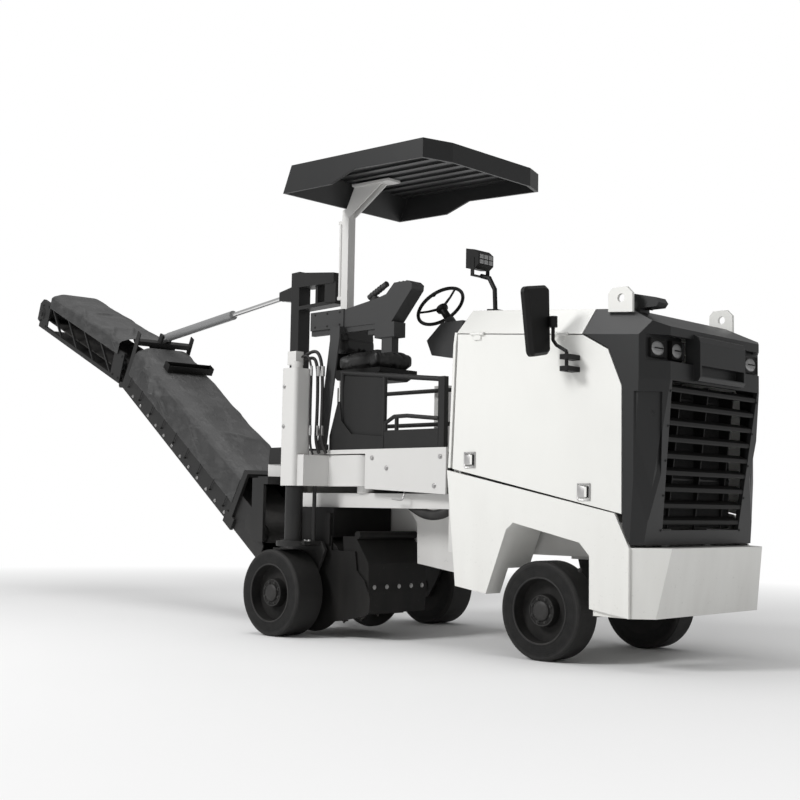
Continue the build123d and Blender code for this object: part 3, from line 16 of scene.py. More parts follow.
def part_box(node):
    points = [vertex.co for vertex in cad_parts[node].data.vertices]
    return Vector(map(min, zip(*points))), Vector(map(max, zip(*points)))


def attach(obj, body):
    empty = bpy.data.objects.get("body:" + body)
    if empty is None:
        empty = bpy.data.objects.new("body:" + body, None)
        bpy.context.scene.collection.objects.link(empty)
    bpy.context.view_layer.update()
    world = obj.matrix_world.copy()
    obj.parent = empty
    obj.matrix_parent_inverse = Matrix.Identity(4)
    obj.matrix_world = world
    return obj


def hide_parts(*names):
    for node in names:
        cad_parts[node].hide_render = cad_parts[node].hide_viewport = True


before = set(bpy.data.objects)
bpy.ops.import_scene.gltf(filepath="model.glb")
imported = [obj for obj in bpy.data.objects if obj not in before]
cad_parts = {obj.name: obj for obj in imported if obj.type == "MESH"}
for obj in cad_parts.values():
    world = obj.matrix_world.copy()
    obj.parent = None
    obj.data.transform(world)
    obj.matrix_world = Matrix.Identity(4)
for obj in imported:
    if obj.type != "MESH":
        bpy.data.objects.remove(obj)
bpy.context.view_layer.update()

# %% [markdown]
# ## Where things are
# Most places on a wheeled machine are measured from its rear axle. So the helper `at` turns
# a place measured from the rear axle's middle into the model's frame. The axle's place is
# read from the wheels themselves, so it stays right if the model is shifted.

# %% Measuring from the rear axle
rear_low, rear_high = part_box("wheel_rear_right")
right_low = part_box("wheel_front_right")[0]
left_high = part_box("wheel_front_left")[1]
AXLE = Vector(((rear_low.x + rear_high.x) / 2, (right_low.y + left_high.y) / 2, 0))


def at(x, y, z):
    """A point in the frame, from its place behind or before the rear axle."""
    return AXLE + Vector((x, y, z))


print("rear axle at", AXLE)

# %% [markdown]
# The conveyor is slewed a little to the left and climbs in two straight runs. Each run has its
# own axes: u up the slope, v square to it and upwards, w across to the left.

# %% Axes of the two conveyor runs
SLEW = math.radians(6)
LOW_RISE, UP_RISE = math.radians(32.6), math.radians(21.5)
LOW_LENGTH, UP_LENGTH = 2.83, 2.06
SIDE_HEIGHT, HALF_WIDTH = 0.29, 0.28
backwards = Vector((-math.cos(SLEW), math.sin(SLEW), 0))
across = Vector((math.sin(SLEW), math.cos(SLEW), 0))


def run_axes(start, rise):
    along = backwards * math.cos(rise) + Vector((0, 0, 1)) * math.sin(rise)
    square = backwards * -math.sin(rise) + Vector((0, 0, 1)) * math.cos(rise)
    return start, along, square


foot = at(-0.8, -0.05, 0.48) + backwards * 0.11
LOW = run_axes(foot, LOW_RISE)
UP = run_axes(foot + LOW[1] * LOW_LENGTH, UP_RISE)


def on_run(run, u, v, w):
    """The point of a conveyor run at u, v, w."""
    start, along, square = run
    return start + along * u + square * v + across * w


print("conveyor bend at", UP[0])

# %% [markdown]
# ## Camera
# The machine is seen from its front right, from less than a metre above the ground, with
# a moderately long lens. The camera is given as a place measured from the rear axle and
# three angles. Shifting the lens, not turning the camera, keeps uprights upright.

# %% Camera
EYE = at(6.926, -6.755, 0.917)
YAW, PITCH, ROLL = 2.3248, 0.0743, 0.0157
forward = Vector((math.cos(YAW) * math.cos(PITCH), math.sin(YAW) * math.cos(PITCH), math.sin(PITCH)))
level_right = Vector((math.sin(YAW), -math.cos(YAW), 0))
level_up = level_right.cross(forward)
right = math.cos(ROLL) * level_right + math.sin(ROLL) * level_up
up = -math.sin(ROLL) * level_right + math.cos(ROLL) * level_up
lens = bpy.data.cameras.new("view")
lens.sensor_width = 36
lens.lens = 36 * 1277.54 / 800
lens.shift_x = -(428.6 - 400) / 800
lens.shift_y = (411.2 - 400) / 800
camera = bpy.data.objects.new("view", lens)
camera.matrix_world = Matrix((
    (right.x, up.x, -forward.x, EYE.x), (right.y, up.y, -forward.y, EYE.y),
    (right.z, up.z, -forward.z, EYE.z), (0, 0, 0, 1)))
bpy.context.scene.collection.objects.link(camera)
bpy.context.scene.camera = camera
print("camera at", EYE)

# %% [markdown]
# ## Shader sums as Python sums
# A finish is a sum of masks. A Math node for each plus and times would be slow to write, so
# a small class wraps a socket, and Python's own signs add the nodes. Every other node comes
# from one method that takes its type, its settings, and its inputs.


# %% A value in a shader
class Value:
    def __init__(self, finish, socket):
        self.finish, self.socket = finish, socket

    def sum(self, operation, first, second, clamp=False):
        made = self.finish.node("ShaderNodeMath", {"operation": operation, "use_clamp": clamp}, {0: first, 1: second})
        return Value(self.finish, made.outputs[0])

    def __add__(self, other):
        return self.sum("ADD", self, other)

    def __radd__(self, other):
        return self.sum("ADD", other, self)

    def __sub__(self, other):
        return self.sum("SUBTRACT", self, other)

    def __rsub__(self, other):
        return self.sum("SUBTRACT", other, self)

    def __mul__(self, other):
        return self.sum("MULTIPLY", self, other)

    def __rmul__(self, other):
        return self.sum("MULTIPLY", other, self)

    def __pow__(self, other):
        return self.sum("POWER", self, other)

    def clip(self):
        return self.sum("ADD", self, 0, clamp=True)

    def over(self, edge, width=0.1):
        """0 below the edge, 1 above it, with a soft step as wide as width."""
        return ((self - edge) * (1 / width) + 0.5).clip()


# %% [markdown]
# A finish starts from the Principled shader. Patterns read Object coordinates, so they stick
# to the piece when a joint moves it. The rounded-edge normal comes from the Bevel node: real
# plate has no knife edges, and the thin highlight along them is what makes paint read as paint.


# %% A finish
class Finish:
    def __init__(self, name, round_edge=0.004):
        self.material = bpy.data.materials.new(name)
        self.material.use_nodes = True
        self.tree = self.material.node_tree
        self.tree.nodes.clear()
        output = self.tree.nodes.new("ShaderNodeOutputMaterial")
        self.surface = self.tree.nodes.new("ShaderNodeBsdfPrincipled")
        self.tree.links.new(self.surface.outputs[0], output.inputs[0])
        place = self.node("ShaderNodeTexCoord")
        self.place = place.outputs["Object"]
        facing = self.node("ShaderNodeSeparateXYZ", {}, {0: place.outputs["Normal"]})
        self.upward = Value(self, facing.outputs[2])
        parts = self.node("ShaderNodeSeparateXYZ", {}, {0: self.place})
        self.x, self.y, self.z = (Value(self, parts.outputs[i]) for i in range(3))
        self.edge = self.node("ShaderNodeBevel", {"samples": 4}, {"Radius": round_edge}) if round_edge else None

    def node(self, kind, settings=None, inputs=None):
        made = self.tree.nodes.new(kind)
        for key, value in (settings or {}).items():
            if key == "stops":
                ramp = made.color_ramp
                for stop, (spot, shade) in zip([ramp.elements[0], ramp.elements[1]], value):
                    stop.position, stop.color = spot, shade
            else:
                setattr(made, key, value)
        for key, value in (inputs or {}).items():
            if isinstance(value, Value):
                self.tree.links.new(value.socket, made.inputs[key])
            elif isinstance(value, bpy.types.NodeSocket):
                self.tree.links.new(value, made.inputs[key])
            else:
                made.inputs[key].default_value = value
        return made

    def cloud(self, scale, detail=3.0, stretch=(1, 1, 1), rough=0.5):
        """A soft noise between 0 and 1."""
        spread = self.node("ShaderNodeMapping", {}, {"Vector": self.place, "Scale": stretch})
        made = self.node("ShaderNodeTexNoise", {}, {"Vector": spread.outputs[0], "Scale": scale, "Detail": detail,
                                                    "Roughness": rough})
        return Value(self, made.outputs[0])

    def blend(self, mask, first, second):
        """A colour that goes from first to second as mask goes from 0 to 1."""
        made = self.node("ShaderNodeMix", {"data_type": "RGBA"}, {0: mask, 6: first, 7: second})
        return made.outputs[2]

    def finish(self, colour, roughness, bump=None, depth=0.001, metallic=0.0, coat=0.0, gloss=0.5):
        for name, value in (("Base Color", colour), ("Roughness", roughness), ("Metallic", metallic)):
            socket = self.surface.inputs[name]
            if isinstance(value, Value):
                self.tree.links.new(value.socket, socket)
            elif isinstance(value, bpy.types.NodeSocket):
                self.tree.links.new(value, socket)
            else:
                socket.default_value = value
        self.surface.inputs["Coat Weight"].default_value = coat
        self.surface.inputs["Specular IOR Level"].default_value = gloss
        edge = self.edge.outputs[0] if self.edge else None
        if bump is not None:
            relief = self.node("ShaderNodeBump", {}, {"Height": bump, "Distance": depth, "Strength": 1.0,
                                                      **({"Normal": edge} if edge else {})})
            self.tree.links.new(relief.outputs[0], self.surface.inputs["Normal"])
        elif edge:
            self.tree.links.new(edge, self.surface.inputs["Normal"])
        return self.material


def grey(level, warm=0.0):
    """A nearly neutral colour; warm leans it to brown, a negative value to blue."""
    return (level * (1 + warm), level, level * (1 - warm), 1)


# %% [markdown]
# ## Enamels
# Most of the machine is sprayed: off-white bodywork, a charcoal front cowl and canopy, grey
# and black below. One function makes them all. Its masks are orange peel in the lacquer, broad
# uneven patches, road dust that thickens towards the ground and on flat tops, and chips at
# the lowest edges. Only the numbers differ from paint to paint.


# %% Enamel
def enamel(name, colour, dust, dust_share, roughness, peel=0.0004, chips=0.3, gloss=0.5):
    made = Finish(name)
    patches = made.cloud(1.7, 4)
    streaks = made.cloud(3.0, 5, (3, 3, 0.5))
    low = (0.75 - made.z).over(0.15, 0.9)
    flat = made.upward.over(0.75, 0.3)
    settled = ((low * 0.8 + flat * 0.35 + 0.12) * streaks.over(0.45, 0.5) * dust_share).clip()
    chipped = (made.cloud(46, 2).over(0.70, 0.05) * low * chips).clip()
    body = made.blend((patches.over(0.5, 0.8) * 0.6).clip(), colour, tuple(c * 0.88 for c in colour[:3]) + (1,))
    dusty = made.blend(settled, body, dust)
    worn = made.blend(chipped, dusty, grey(0.06, 0.05))
    rough = (roughness + settled * 0.3 + patches * 0.06).clip()
    bump = made.cloud(150, 2) * 0.5 + streaks * 0.1
    return made.finish(worn, rough, bump, peel, gloss=gloss)


white_enamel = enamel("white_enamel", (0.83, 0.83, 0.80, 1), grey(0.45, 0.06), 0.28, 0.30, chips=0.15)
# A slightly darker copy of the white enamel: painted shade on the platform, the arm, the frame and the canopy post.
painted_shade_enamel = enamel("painted_shade_white_enamel", (0.66, 0.655, 0.64, 1), grey(0.40, 0.06), 0.35, 0.34, chips=0.2)
charcoal_enamel = enamel("charcoal_enamel", grey(0.016, -0.02), grey(0.06, 0.04), 0.22, 0.36, chips=0.1, gloss=0.35)
grey_enamel = enamel("grey_enamel", grey(0.042, -0.01), grey(0.11, 0.05), 0.35, 0.40, gloss=0.3)
dark_enamel = enamel("dark_enamel", grey(0.014, 0.0), grey(0.065, 0.06), 0.45, 0.42, gloss=0.3)
black_enamel = enamel("black_enamel", grey(0.006, 0.02), grey(0.035, 0.08), 0.40, 0.45, gloss=0.22)
barrel_enamel = enamel("barrel_enamel", grey(0.21, -0.01), grey(0.26, 0.05), 0.35, 0.30)
print("enamels", len(bpy.data.materials))

# %% [markdown]
# ## Bare metal, rubber and cloth
# A piston rod is ground and chromed, so it is smooth with fine rings. The drum is cast and
# blasted by stone. Tyres of solid rubber show a dusty grey shoulder and a darker, scuffed
# tread; one function makes both rubber and rim of a wheel, told apart by their distance from
# the axle. The tarpaulin is coated cloth: a fine weave under a waxy skin, paler where it folds.
# Its upward faces are painted lighter than its sides: painted highlight on the tops and painted shade on the sides.


# %% Steel
def steel(name, colour, roughness, scale, depth, brown=0.0):
    made = Finish(name, 0.002)
    pits = made.cloud(scale, 4)
    stain = made.cloud(6, 4).over(0.55, 0.3) * brown
    tint = made.blend(stain.clip(), colour, (0.09, 0.045, 0.022, 1))
    return made.finish(tint, (roughness + pits * 0.15 + stain * 0.4).clip(), pits, depth, metallic=0.9)


rod_steel = steel("rod_steel", grey(0.72), 0.10, 300, 0.00005)
zinc_steel = steel("zinc_steel", grey(0.48, 0.01), 0.34, 120, 0.0002)
drum_steel = steel("drum_steel", grey(0.16, 0.04), 0.45, 40, 0.002, 0.6)
pick_steel = steel("pick_steel", grey(0.34, 0.03), 0.36, 90, 0.0006, 0.25)


# %% Wheels
def wheel_finish(name, node):
    made = Finish(name, 0.006)
    low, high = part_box(node)
    middle = (low + high) / 2
    dx, dz = made.x - middle.x, made.z - middle.z
    radius = (dx * dx + dz * dz) ** 0.5
    outer = high.x - middle.x
    rubber = radius.over(outer * 0.675, 0.004)
    shoulder = radius.over(outer * 0.93, 0.03) - radius.over(outer * 0.985, 0.01)
    scuff = made.cloud(22, 5)
    tread = radius.over(outer * 0.992, 0.004)
    hide = made.blend((shoulder * 0.6 + scuff.over(0.5, 0.5) * 0.35).clip(), grey(0.006), grey(0.036, 0.03))
    face = made.blend((tread * 0.85).clip(), hide, grey(0.022, 0.03))
    rim = made.blend(made.cloud(9, 4).over(0.5, 0.5), grey(0.007), grey(0.022, 0.05))
    colour = made.blend(rubber.clip(), rim, face)
    rings = (radius * 520).sum("SINE", radius * 520, 0) * (1 - tread) * rubber
    bump = rings * 0.25 + scuff * 0.6 + made.cloud(120, 2) * 0.4
    return made.finish(colour, (0.55 + scuff * 0.25).clip(), bump, 0.0012, gloss=0.22)


# %% Soft finishes
def coated_cloth():
    made = Finish("coated_tarpaulin", 0)
    weave = made.cloud(700, 1)
    broad = made.cloud(2.2, 5)
    rubbed = made.cloud(9, 5, (1, 1, 1), 0.65).over(0.56, 0.18)
    crease = made.cloud(5, 3, (0.6, 3, 3)).over(0.58, 0.08)
    # Upward faces blend to the light grey: painted highlight on the tops, the dark sides are painted shade; worn adds
    # rubbing and paler creases to it.
    flat = made.upward.over(0.7, 0.5)
    worn = made.blend((flat * 0.55 + rubbed * 0.25 + crease * 0.15).clip(), grey(0.018, -0.01), grey(0.115, 0.0))
    tint = made.blend((broad.over(0.5, 0.6) * 0.4).clip(), worn, grey(0.040))
    return made.finish(tint, (0.5 + rubbed * 0.2).clip(), weave * 0.3 + broad * 0.6 + crease * 0.8, 0.0025, gloss=0.5)


def seat_vinyl():
    made = Finish("seat_vinyl", 0)
    grain = made.node("ShaderNodeTexVoronoi", {}, {"Vector": made.place, "Scale": 420.0})
    pores = Value(made, grain.outputs[0])
    wear = made.cloud(7, 4).over(0.5, 0.5)
    tint = made.blend((wear * 0.5).clip(), grey(0.010), grey(0.030, 0.04))
    return made.finish(tint, (0.42 + wear * 0.15).clip(), pores, 0.0004, gloss=0.4)


def belt_rubber():
    made = Finish("belt_rubber", 0)
    grit = made.cloud(90, 4)
    dust = made.cloud(4, 5).over(0.45, 0.5)
    return made.finish(made.blend((dust * 0.6).clip(), grey(0.015), grey(0.07, 0.05)),
                       (0.7 + grit * 0.15).clip(), grit, 0.002,
                       gloss=0.3)


def hose_rubber():
    made = Finish("hose_rubber", 0)
    grit = made.cloud(200, 2)
    dust = made.cloud(12, 3).over(0.5, 0.4)
    return made.finish(made.blend((dust * 0.35).clip(), grey(0.012), grey(0.06, 0.05)),
                       (0.5 + grit * 0.1).clip(), grit, 0.0004,
                       gloss=0.4)


tarpaulin, vinyl, belt, hose = coated_cloth(), seat_vinyl(), belt_rubber(), hose_rubber()


# %% Lamp glass and reflector
def lens_glass():
    made = Finish("lens_glass", 0)
    ribs = made.y.sum("SINE", made.y * 900, 0)
    frost = made.cloud(60, 2)
    shine = made.blend((ribs * 0.25 + 0.4).clip(), grey(0.40), grey(0.16))
    return made.finish(shine, (0.12 + frost * 0.1).clip(), ribs * 0.5 + frost * 0.2, 0.0015, metallic=0.35, coat=0.6)


glass = lens_glass()
print("finishes", [m.name for m in bpy.data.materials])

# %% [markdown]
# ## Dressing the CAD nodes
# Each CAD node keeps its mesh and gets one of these finishes. The platform, the swing arm, the frame and the canopy
# post get a slightly darker copy of the hood's white enamel, with a little more dust: the darker paint is painted
# shade.

# %% Materials of the CAD nodes
DRESS = {
    white_enamel: ("hood_shell", "hood_door_right", "hood_door_left", "side_skirt_right", "side_skirt_left",
                   "hood_fittings",
                   "front_bumper"),
    painted_shade_enamel: ("operator_platform", "swing_arm", "chassis_frame", "canopy_post"),
    charcoal_enamel: ("front_cowl", "air_outlet", "canopy_roof"),
    grey_enamel: ("side_console", "steering_stand"), barrel_enamel: ("lift_barrel",),
    dark_enamel: ("leg_right", "leg_left", "conveyor_yoke", "conveyor_lower", "conveyor_upper",
                  "platform_rails", "engine_block"),
    black_enamel: ("drum_housing", "side_shield_right", "front_axle", "knuckle_right", "knuckle_left", "grille_slats",
                   "work_lamp", "mirror_right", "seat_pedestal", "steering_wheel"),
    drum_steel: ("milling_drum",), rod_steel: ("lift_rod",), belt: ("belt_lower", "belt_upper"),
    glass: ("headlamps",), vinyl: ("seat_cushion",), tarpaulin: ("cover_lower", "cover_upper"),
}
WHEELS = {"wheel_front_right": "tyre_front_right", "wheel_front_left": "tyre_front_left",
          "wheel_rear_right": "tyre_rear_right", "wheel_rear_left": "tyre_rear_left"}


def dress(node, finish):
    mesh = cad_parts[node].data
    mesh.materials.clear()
    mesh.materials.append(finish)


for finish, nodes in DRESS.items():
    for node in nodes:
        dress(node, finish)
for node in WHEELS:
    dress(node, wheel_finish(node + "_rubber", node))
dressed = sum(len(n) for n in DRESS.values()) + len(WHEELS)
print("dressed", dressed, "of", len(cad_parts), "nodes")

# %% [markdown]
# ## Making pieces
# A new piece starts as a bmesh. `finish_piece` merges its doubles, turns its faces outwards,
# smooths the shallow angles, and lets it ride on its body.


# %% From a bmesh to a riding piece
def finish_piece(name, shape, body, finish, smooth=40, bevel=0.0):
    bmesh.ops.remove_doubles(shape, verts=shape.verts, dist=1e-5)
    bmesh.ops.recalc_face_normals(shape, faces=shape.faces)
    mesh = bpy.data.meshes.new(name)
    shape.to_mesh(mesh)
    shape.free()
    piece = bpy.data.objects.new(name, mesh)
    bpy.context.scene.collection.objects.link(piece)
    mesh.materials.append(finish)
    if bevel:
        soft = piece.modifiers.new("bevel", "BEVEL")
        soft.width, soft.segments, soft.limit_method, soft.angle_limit = bevel, 2, "ANGLE", math.radians(30)
    for face in mesh.polygons:
        face.use_smooth = True
    mesh.set_sharp_from_angle(angle=math.radians(smooth))
    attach(piece, body)
    return piece


def turned(direction, spin=0.0):
    """The turn that sends +Z along direction."""
    return Vector(direction).to_track_quat("Z", "Y").to_matrix().to_4x4() @ Matrix.Rotation(spin, 4, "Z")


def add_block(shape, centre, size, turn=None, bevel=0.0):
    """A block with softened edges."""
    place = Matrix.Translation(centre) @ (turn or Matrix.Identity(4)) @ Matrix.Diagonal((*size, 1))
    made = bmesh.ops.create_cube(shape, size=1, matrix=place)
    if bevel:
        edges = list({e for v in made["verts"] for e in v.link_edges})
        bmesh.ops.bevel(shape, geom=edges, offset=bevel, segments=2, affect="EDGES", profile=0.5, material=-1)


def add_rod(shape, start, end, radius, sides=16, end_radius=None):
    """A round bar, or a cone, from start to end."""
    way = Vector(end) - Vector(start)
    place = Matrix.Translation(Vector(start) + way / 2) @ turned(way)
    bmesh.ops.create_cone(shape, cap_ends=True, segments=sides, radius1=radius,
                          radius2=radius if end_radius is None else end_radius, depth=way.length, matrix=place)


def add_bolt(shape, centre, direction, radius=0.011):
    """A washer and a six-sided head standing on a surface."""
    out = Vector(direction).normalized()
    foot_point = Vector(centre)
    add_rod(shape, foot_point - out * 0.001, foot_point + out * radius * 0.22, radius * 1.45, 16)
    add_rod(shape, foot_point, foot_point + out * radius * 0.9, radius, 6, radius * 0.94)


def add_lathe(shape, outline, centre, axis, steps=48):
    """Spins an outline of (radius, height) pairs about an axis through centre."""
    place = Matrix.Translation(centre) @ turned(axis)
    verts = [shape.verts.new(place @ Vector((r, 0, h))) for r, h in outline]
    edges = [shape.edges.new(pair) for pair in zip(verts, verts[1:])]
    bmesh.ops.spin(shape, geom=verts + edges, cent=centre, axis=Vector(axis).normalized(), angle=math.tau,
                   steps=steps, use_merge=True)


print("helpers ready")

# %% [markdown]
# ## Wheels
# Each wheel is a steel drum with a thick band of rubber pressed on. The CAD has both as one
# turned solid. What it lacks is the rolled bead round the rim, the hub's cap and the nuts.
# They are spun from short outlines, because all of them are round.

# %% Rim beads, hub caps and nuts
for node, body in WHEELS.items():
    low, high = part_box(node)
    side = -1 if low.y < AXLE.y - 0.1 and "right" in node else 1
    out = Vector((0, side, 0))
    face = Vector(((low.x + high.x) / 2, high.y if side > 0 else low.y, (low.z + high.z) / 2))
    hub = face - out * 0.024
    shape = bmesh.new()
    add_lathe(shape, [(0.193, -0.003), (0.194, 0.002), (0.199, 0.0035), (0.204, 0.002), (0.205, -0.003)], face, out, 64)
    add_lathe(shape, [(0.060, -0.002), (0.059, 0.010), (0.052, 0.016), (0.030, 0.018), (0.0, 0.0185)], hub, out, 40)
    add_lathe(shape, [(0.094, -0.003), (0.093, 0.003), (0.088, 0.003), (0.086, -0.002)], hub, out, 48)
    for k in range(8):
        turn = math.tau * (k + 0.5) / 8
        add_bolt(shape, hub + Vector((math.cos(turn), 0, math.sin(turn))) * 0.074, out, 0.009)
    finish_piece("hub_of_" + node, shape, body, dark_enamel)
print("hubs", len(WHEELS))

# %% [markdown]
# ## Milling drum
# The picks are what wears: each is a steel cone with a hard tip, standing in a welded holder
# and leaning into the cut. Fifty of them follow five spirals. The holders are in the CAD, so
# only the cones are added, from a cone and a stub each.

# %% Picks
DRUM_X, DRUM_Z, PICK_REACH = 0.1, 0.372, 0.290
shape = bmesh.new()
for ring in range(5):
    for k in range(10):
        turn = math.radians(36 * k + 14 * ring)
        out = Vector((math.cos(turn), 0, math.sin(turn)))
        lead = Vector((math.sin(turn), 0, -math.cos(turn)))
        root = at(DRUM_X, -0.585 + ring * 0.105, DRUM_Z) + out * (PICK_REACH - 0.004) + lead * 0.018
        lean = (out + lead * 0.5).normalized()
        add_rod(shape, root - lean * 0.004, root + lean * 0.004, 0.017, 10)
        add_rod(shape, root + lean * 0.003, root + lean * 0.016, 0.012, 10, 0.006)
        add_rod(shape, root + lean * 0.015, root + lean * 0.022, 0.006, 8, 0.002)
finish_piece("drum_picks", shape, "drum", pick_steel)
print("picks", 50)

# %% [markdown]
# ## Doors
# A paddle latch is a zinc dish with a flap that a finger pulls. Here it is a bevelled plate
# whose face is inset and pushed back, with the flap as a block. The finger hole is a thin black block on the face:
# painted shade for the dark inside the hole.

# %% Door latches
LATCHES = ((1.587, 1.214), (2.476, 1.015))
for side, door in ((-1, "right"), (1, "left")):
    plates, hole_shade_blocks = bmesh.new(), bmesh.new()
    for x, z in LATCHES:
        centre = at(x, side * 0.6835, z)
        made = bmesh.ops.create_cube(plates, size=1, matrix=Matrix.Translation(centre) @ Matrix.Diagonal((0.092,
                                                            0.009, 0.100, 1)))
        front = [f for f in {f for v in made["verts"] for f in v.link_faces} if f.normal.y * side > 0.9]
        bmesh.ops.inset_region(plates, faces=front, thickness=0.008, depth=0.0)
        bmesh.ops.translate(plates, verts=list(front[0].verts), vec=(0, -side * 0.003, 0))
        add_block(plates, centre + Vector((-0.012, side * 0.0045, 0)), (0.046, 0.007, 0.066), bevel=0.002)
        # The finger hole: a black block that stands for the shade inside the hole, painted shade.
        add_block(hole_shade_blocks, centre + Vector((0.026, side * 0.004, 0)), (0.020, 0.006, 0.066), bevel=0.001)
        for dx in (-0.040, 0.040):
            for dz in (-0.044, 0.044):
                add_rod(plates, centre + Vector((dx, side * 0.003, dz)),
                        centre + Vector((dx, side * 0.0062, dz)), 0.003, 10)
    finish_piece("latches_" + door, plates, "door_" + door, zinc_steel)
    finish_piece("latch_hole_shade_" + door, hole_shade_blocks, "door_" + door, black_enamel)
print("latches", 2 * len(LATCHES))

# %% [markdown]
# ## Front cowl
# The grille hides the coolers: behind its louvres stands a core of thin upright fins. The
# corner pillars carry a raised chevron, and the lamps sit in pockets behind black bezels with
# a bar across the lens.

# %% Cooler fins
shape = bmesh.new()
FINS = 84
for k in range(FINS):
    y = -0.41 + 0.82 * k / (FINS - 1)
    add_block(shape, at(2.790, y, 1.230), (0.010, 0.0025, 0.83))
for z in (0.86, 1.10, 1.34, 1.58):
    add_block(shape, at(2.793, 0, z), (0.008, 0.83, 0.012))
finish_piece("cooler_fins", shape, "machine", dark_enamel)

# %% Pillar chevrons and bolts
shape = bmesh.new()
lean = math.atan2(0.115, 0.945)
for side in (-1, 1):
    for z, size, roll in ((1.45, (0.016, 0.100, 0.030), 0.5), (0.895, (0.016, 0.085, 0.022), 0.0)):
        drop = (1.66 - z) / 0.945
        middle = at(2.868 - drop * 0.087, side * (0.588 + drop * 0.048), z)
        facing = Matrix.Rotation(side * -0.96, 4, "Z") @ Matrix.Rotation(side * roll, 4, "X")
        add_block(shape, middle, size, Matrix.Rotation(side * 1.0, 4, "Z") @ Matrix.Rotation(-side * roll, 4,
                                                            "X"), 0.004)
    for k in range(5):
        z = 0.80 + k * 0.20
        drop = (1.66 - z) / 0.945
        add_bolt(shape, at(2.955 - drop * 0.115, side * (0.500 - drop * 0.06), z), (1, 0, 0.12), 0.006)
finish_piece("cowl_chevrons", shape, "machine", charcoal_enamel)

# %% Headlamps
bezels, lenses = bmesh.new(), bmesh.new()
LAMPS = [(side * (y0 + y1) / 2, y1 - y0, x1) for side in (-1, 1) for y0, y1,
         x1 in ((0.280, 0.410, 2.904), (0.455, 0.610, 2.894))]
for y, width, x1 in LAMPS:
    middle = at((2.872 + x1) / 2, y, 1.845)
    made = bmesh.ops.create_cube(bezels, size=1,
                                 matrix=Matrix.Translation(middle) @ Matrix.Diagonal((x1 - 2.8725, width, 0.110, 1)))
    front = [f for f in {f for v in made["verts"] for f in v.link_faces} if f.normal.x > 0.9]
    bmesh.ops.inset_region(bezels, faces=front, thickness=0.013, depth=0.0)
    bmesh.ops.translate(bezels, verts=list(front[0].verts), vec=(-0.010, 0, 0))
    made = bmesh.ops.create_uvsphere(lenses, u_segments=24, v_segments=12, radius=1, matrix=Matrix.Translation(
        at(x1 - 0.012, y, 1.845)) @ Matrix.Diagonal((0.009, width / 2 - 0.012, 0.043, 1)))
    add_block(bezels, at(x1 - 0.001, y, 1.845), (0.004, width * 0.55, 0.007), bevel=0.001)
bezel = finish_piece("headlamp_bezels", bezels, "machine", black_enamel, bevel=0.003)
finish_piece("headlamp_lenses", lenses, "machine", glass)
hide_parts("headlamps")
print("headlamps", len(LAMPS))

# %% [markdown]
# ## Steering wheel
# A moulded ring on three spokes, with a padded boss and a spinner knob for turning with one
# hand. The CAD wheel is a flat washer, which a real one never is, so this piece stands for it.
# The ring is a circle spun about the column.

# %% Steering wheel
HUB, TILT = at(0.880, -0.210, 2.320), math.radians(40)
column = Vector((-math.sin(TILT), 0, math.cos(TILT)))
level = Vector((0, 1, 0))
downhill = level.cross(column)
shape = bmesh.new()
circle = [(0.177 + 0.0125 * math.cos(math.tau * k / 12), 0.0125 * math.sin(math.tau * k / 12)) for k in range(13)]
add_lathe(shape, circle, HUB, column, 64)
for turn in (0, 120, 240):
    way = level * math.cos(math.radians(turn + 90)) + downhill * math.sin(math.radians(turn + 90))
    add_rod(shape, HUB + way * 0.030 - column * 0.018, HUB + way * 0.110 - column * 0.014, 0.010, 12, 0.008)
    add_rod(shape, HUB + way * 0.108 - column * 0.014, HUB + way * 0.172 - column * 0.002, 0.008, 12, 0.0075)
add_lathe(shape, [(0.027, -0.128), (0.027, -0.040), (0.042, -0.034), (0.045, -0.018), (0.040, -0.008),
                  (0.022, -0.003), (0.0, -0.002)],
          HUB, column, 32)
knob = HUB + (level * math.cos(2.6) + downhill * math.sin(2.6)) * 0.168 - column * 0.0
add_lathe(shape, [(0.0, -0.012), (0.012, -0.008), (0.008, -0.001), (0.014, 0.003), (0.013, 0.0048),
                  (0.0, 0.0054)], knob, column, 20)
wheel = finish_piece("steering_ring", shape, "steering", black_enamel, 60)
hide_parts("steering_wheel")
print("steering wheel about", HUB)

# %% [markdown]
# ## Console
# The joystick stands on a pleated rubber boot, and a row of buttons sits on the raised head.

# %% Boot and buttons
shape = bmesh.new()
stick = at(0.585, -0.560, 2.345)
pleats = [(0.050 - 0.004 * k + (0.004 if k % 2 else 0), -0.012 + 0.0055 * k) for k in range(8)]
add_lathe(shape, pleats + [(0.018, 0.031), (0.0, 0.032)], stick, (0, 0, 1), 28)
grip_way = (at(0.690, -0.560, 2.452) - at(0.520, -0.560, 2.372)).normalized()
grip = at(0.520, -0.560, 2.372)
for k in range(5):
    mid = grip + grip_way * (0.035 + 0.026 * k)
    add_lathe(shape, [(0.0205, -0.006), (0.0235, -0.003), (0.0235, 0.003), (0.0205, 0.006)], mid, grip_way, 20)
add_lathe(shape, [(0.021, -0.002), (0.021, 0.006), (0.014, 0.012), (0.0, 0.013)], grip + grip_way * 0.186, grip_way, 20)
finish_piece("joystick_boot", shape, "machine", hose)
shape = bmesh.new()
for k in range(3):
    for y in (-0.590, -0.555, -0.530):
        centre = at(0.845 + 0.035 * k, y, 2.440)
        add_rod(shape, centre - Vector((0, 0, 0.001)), centre + Vector((0, 0, 0.004)), 0.011, 16)
        add_rod(shape, centre, centre + Vector((0, 0, 0.009)), 0.0075, 16, 0.0065)
for x in (0.03, 0.16, 0.29):
    for z in (2.195, 2.285):
        add_bolt(shape, at(x, -0.628, z), (0, -1, 0), 0.006)
finish_piece("console_buttons", shape, "machine", dark_enamel)
print("console dressed")

# %% [markdown]
# ## Bolts
# Bolts are small, but a machine without them looks like a toy. Each group is one piece on one
# body: the platform's skirt, the canopy post, the flap, the arm and the conveyor's plates.

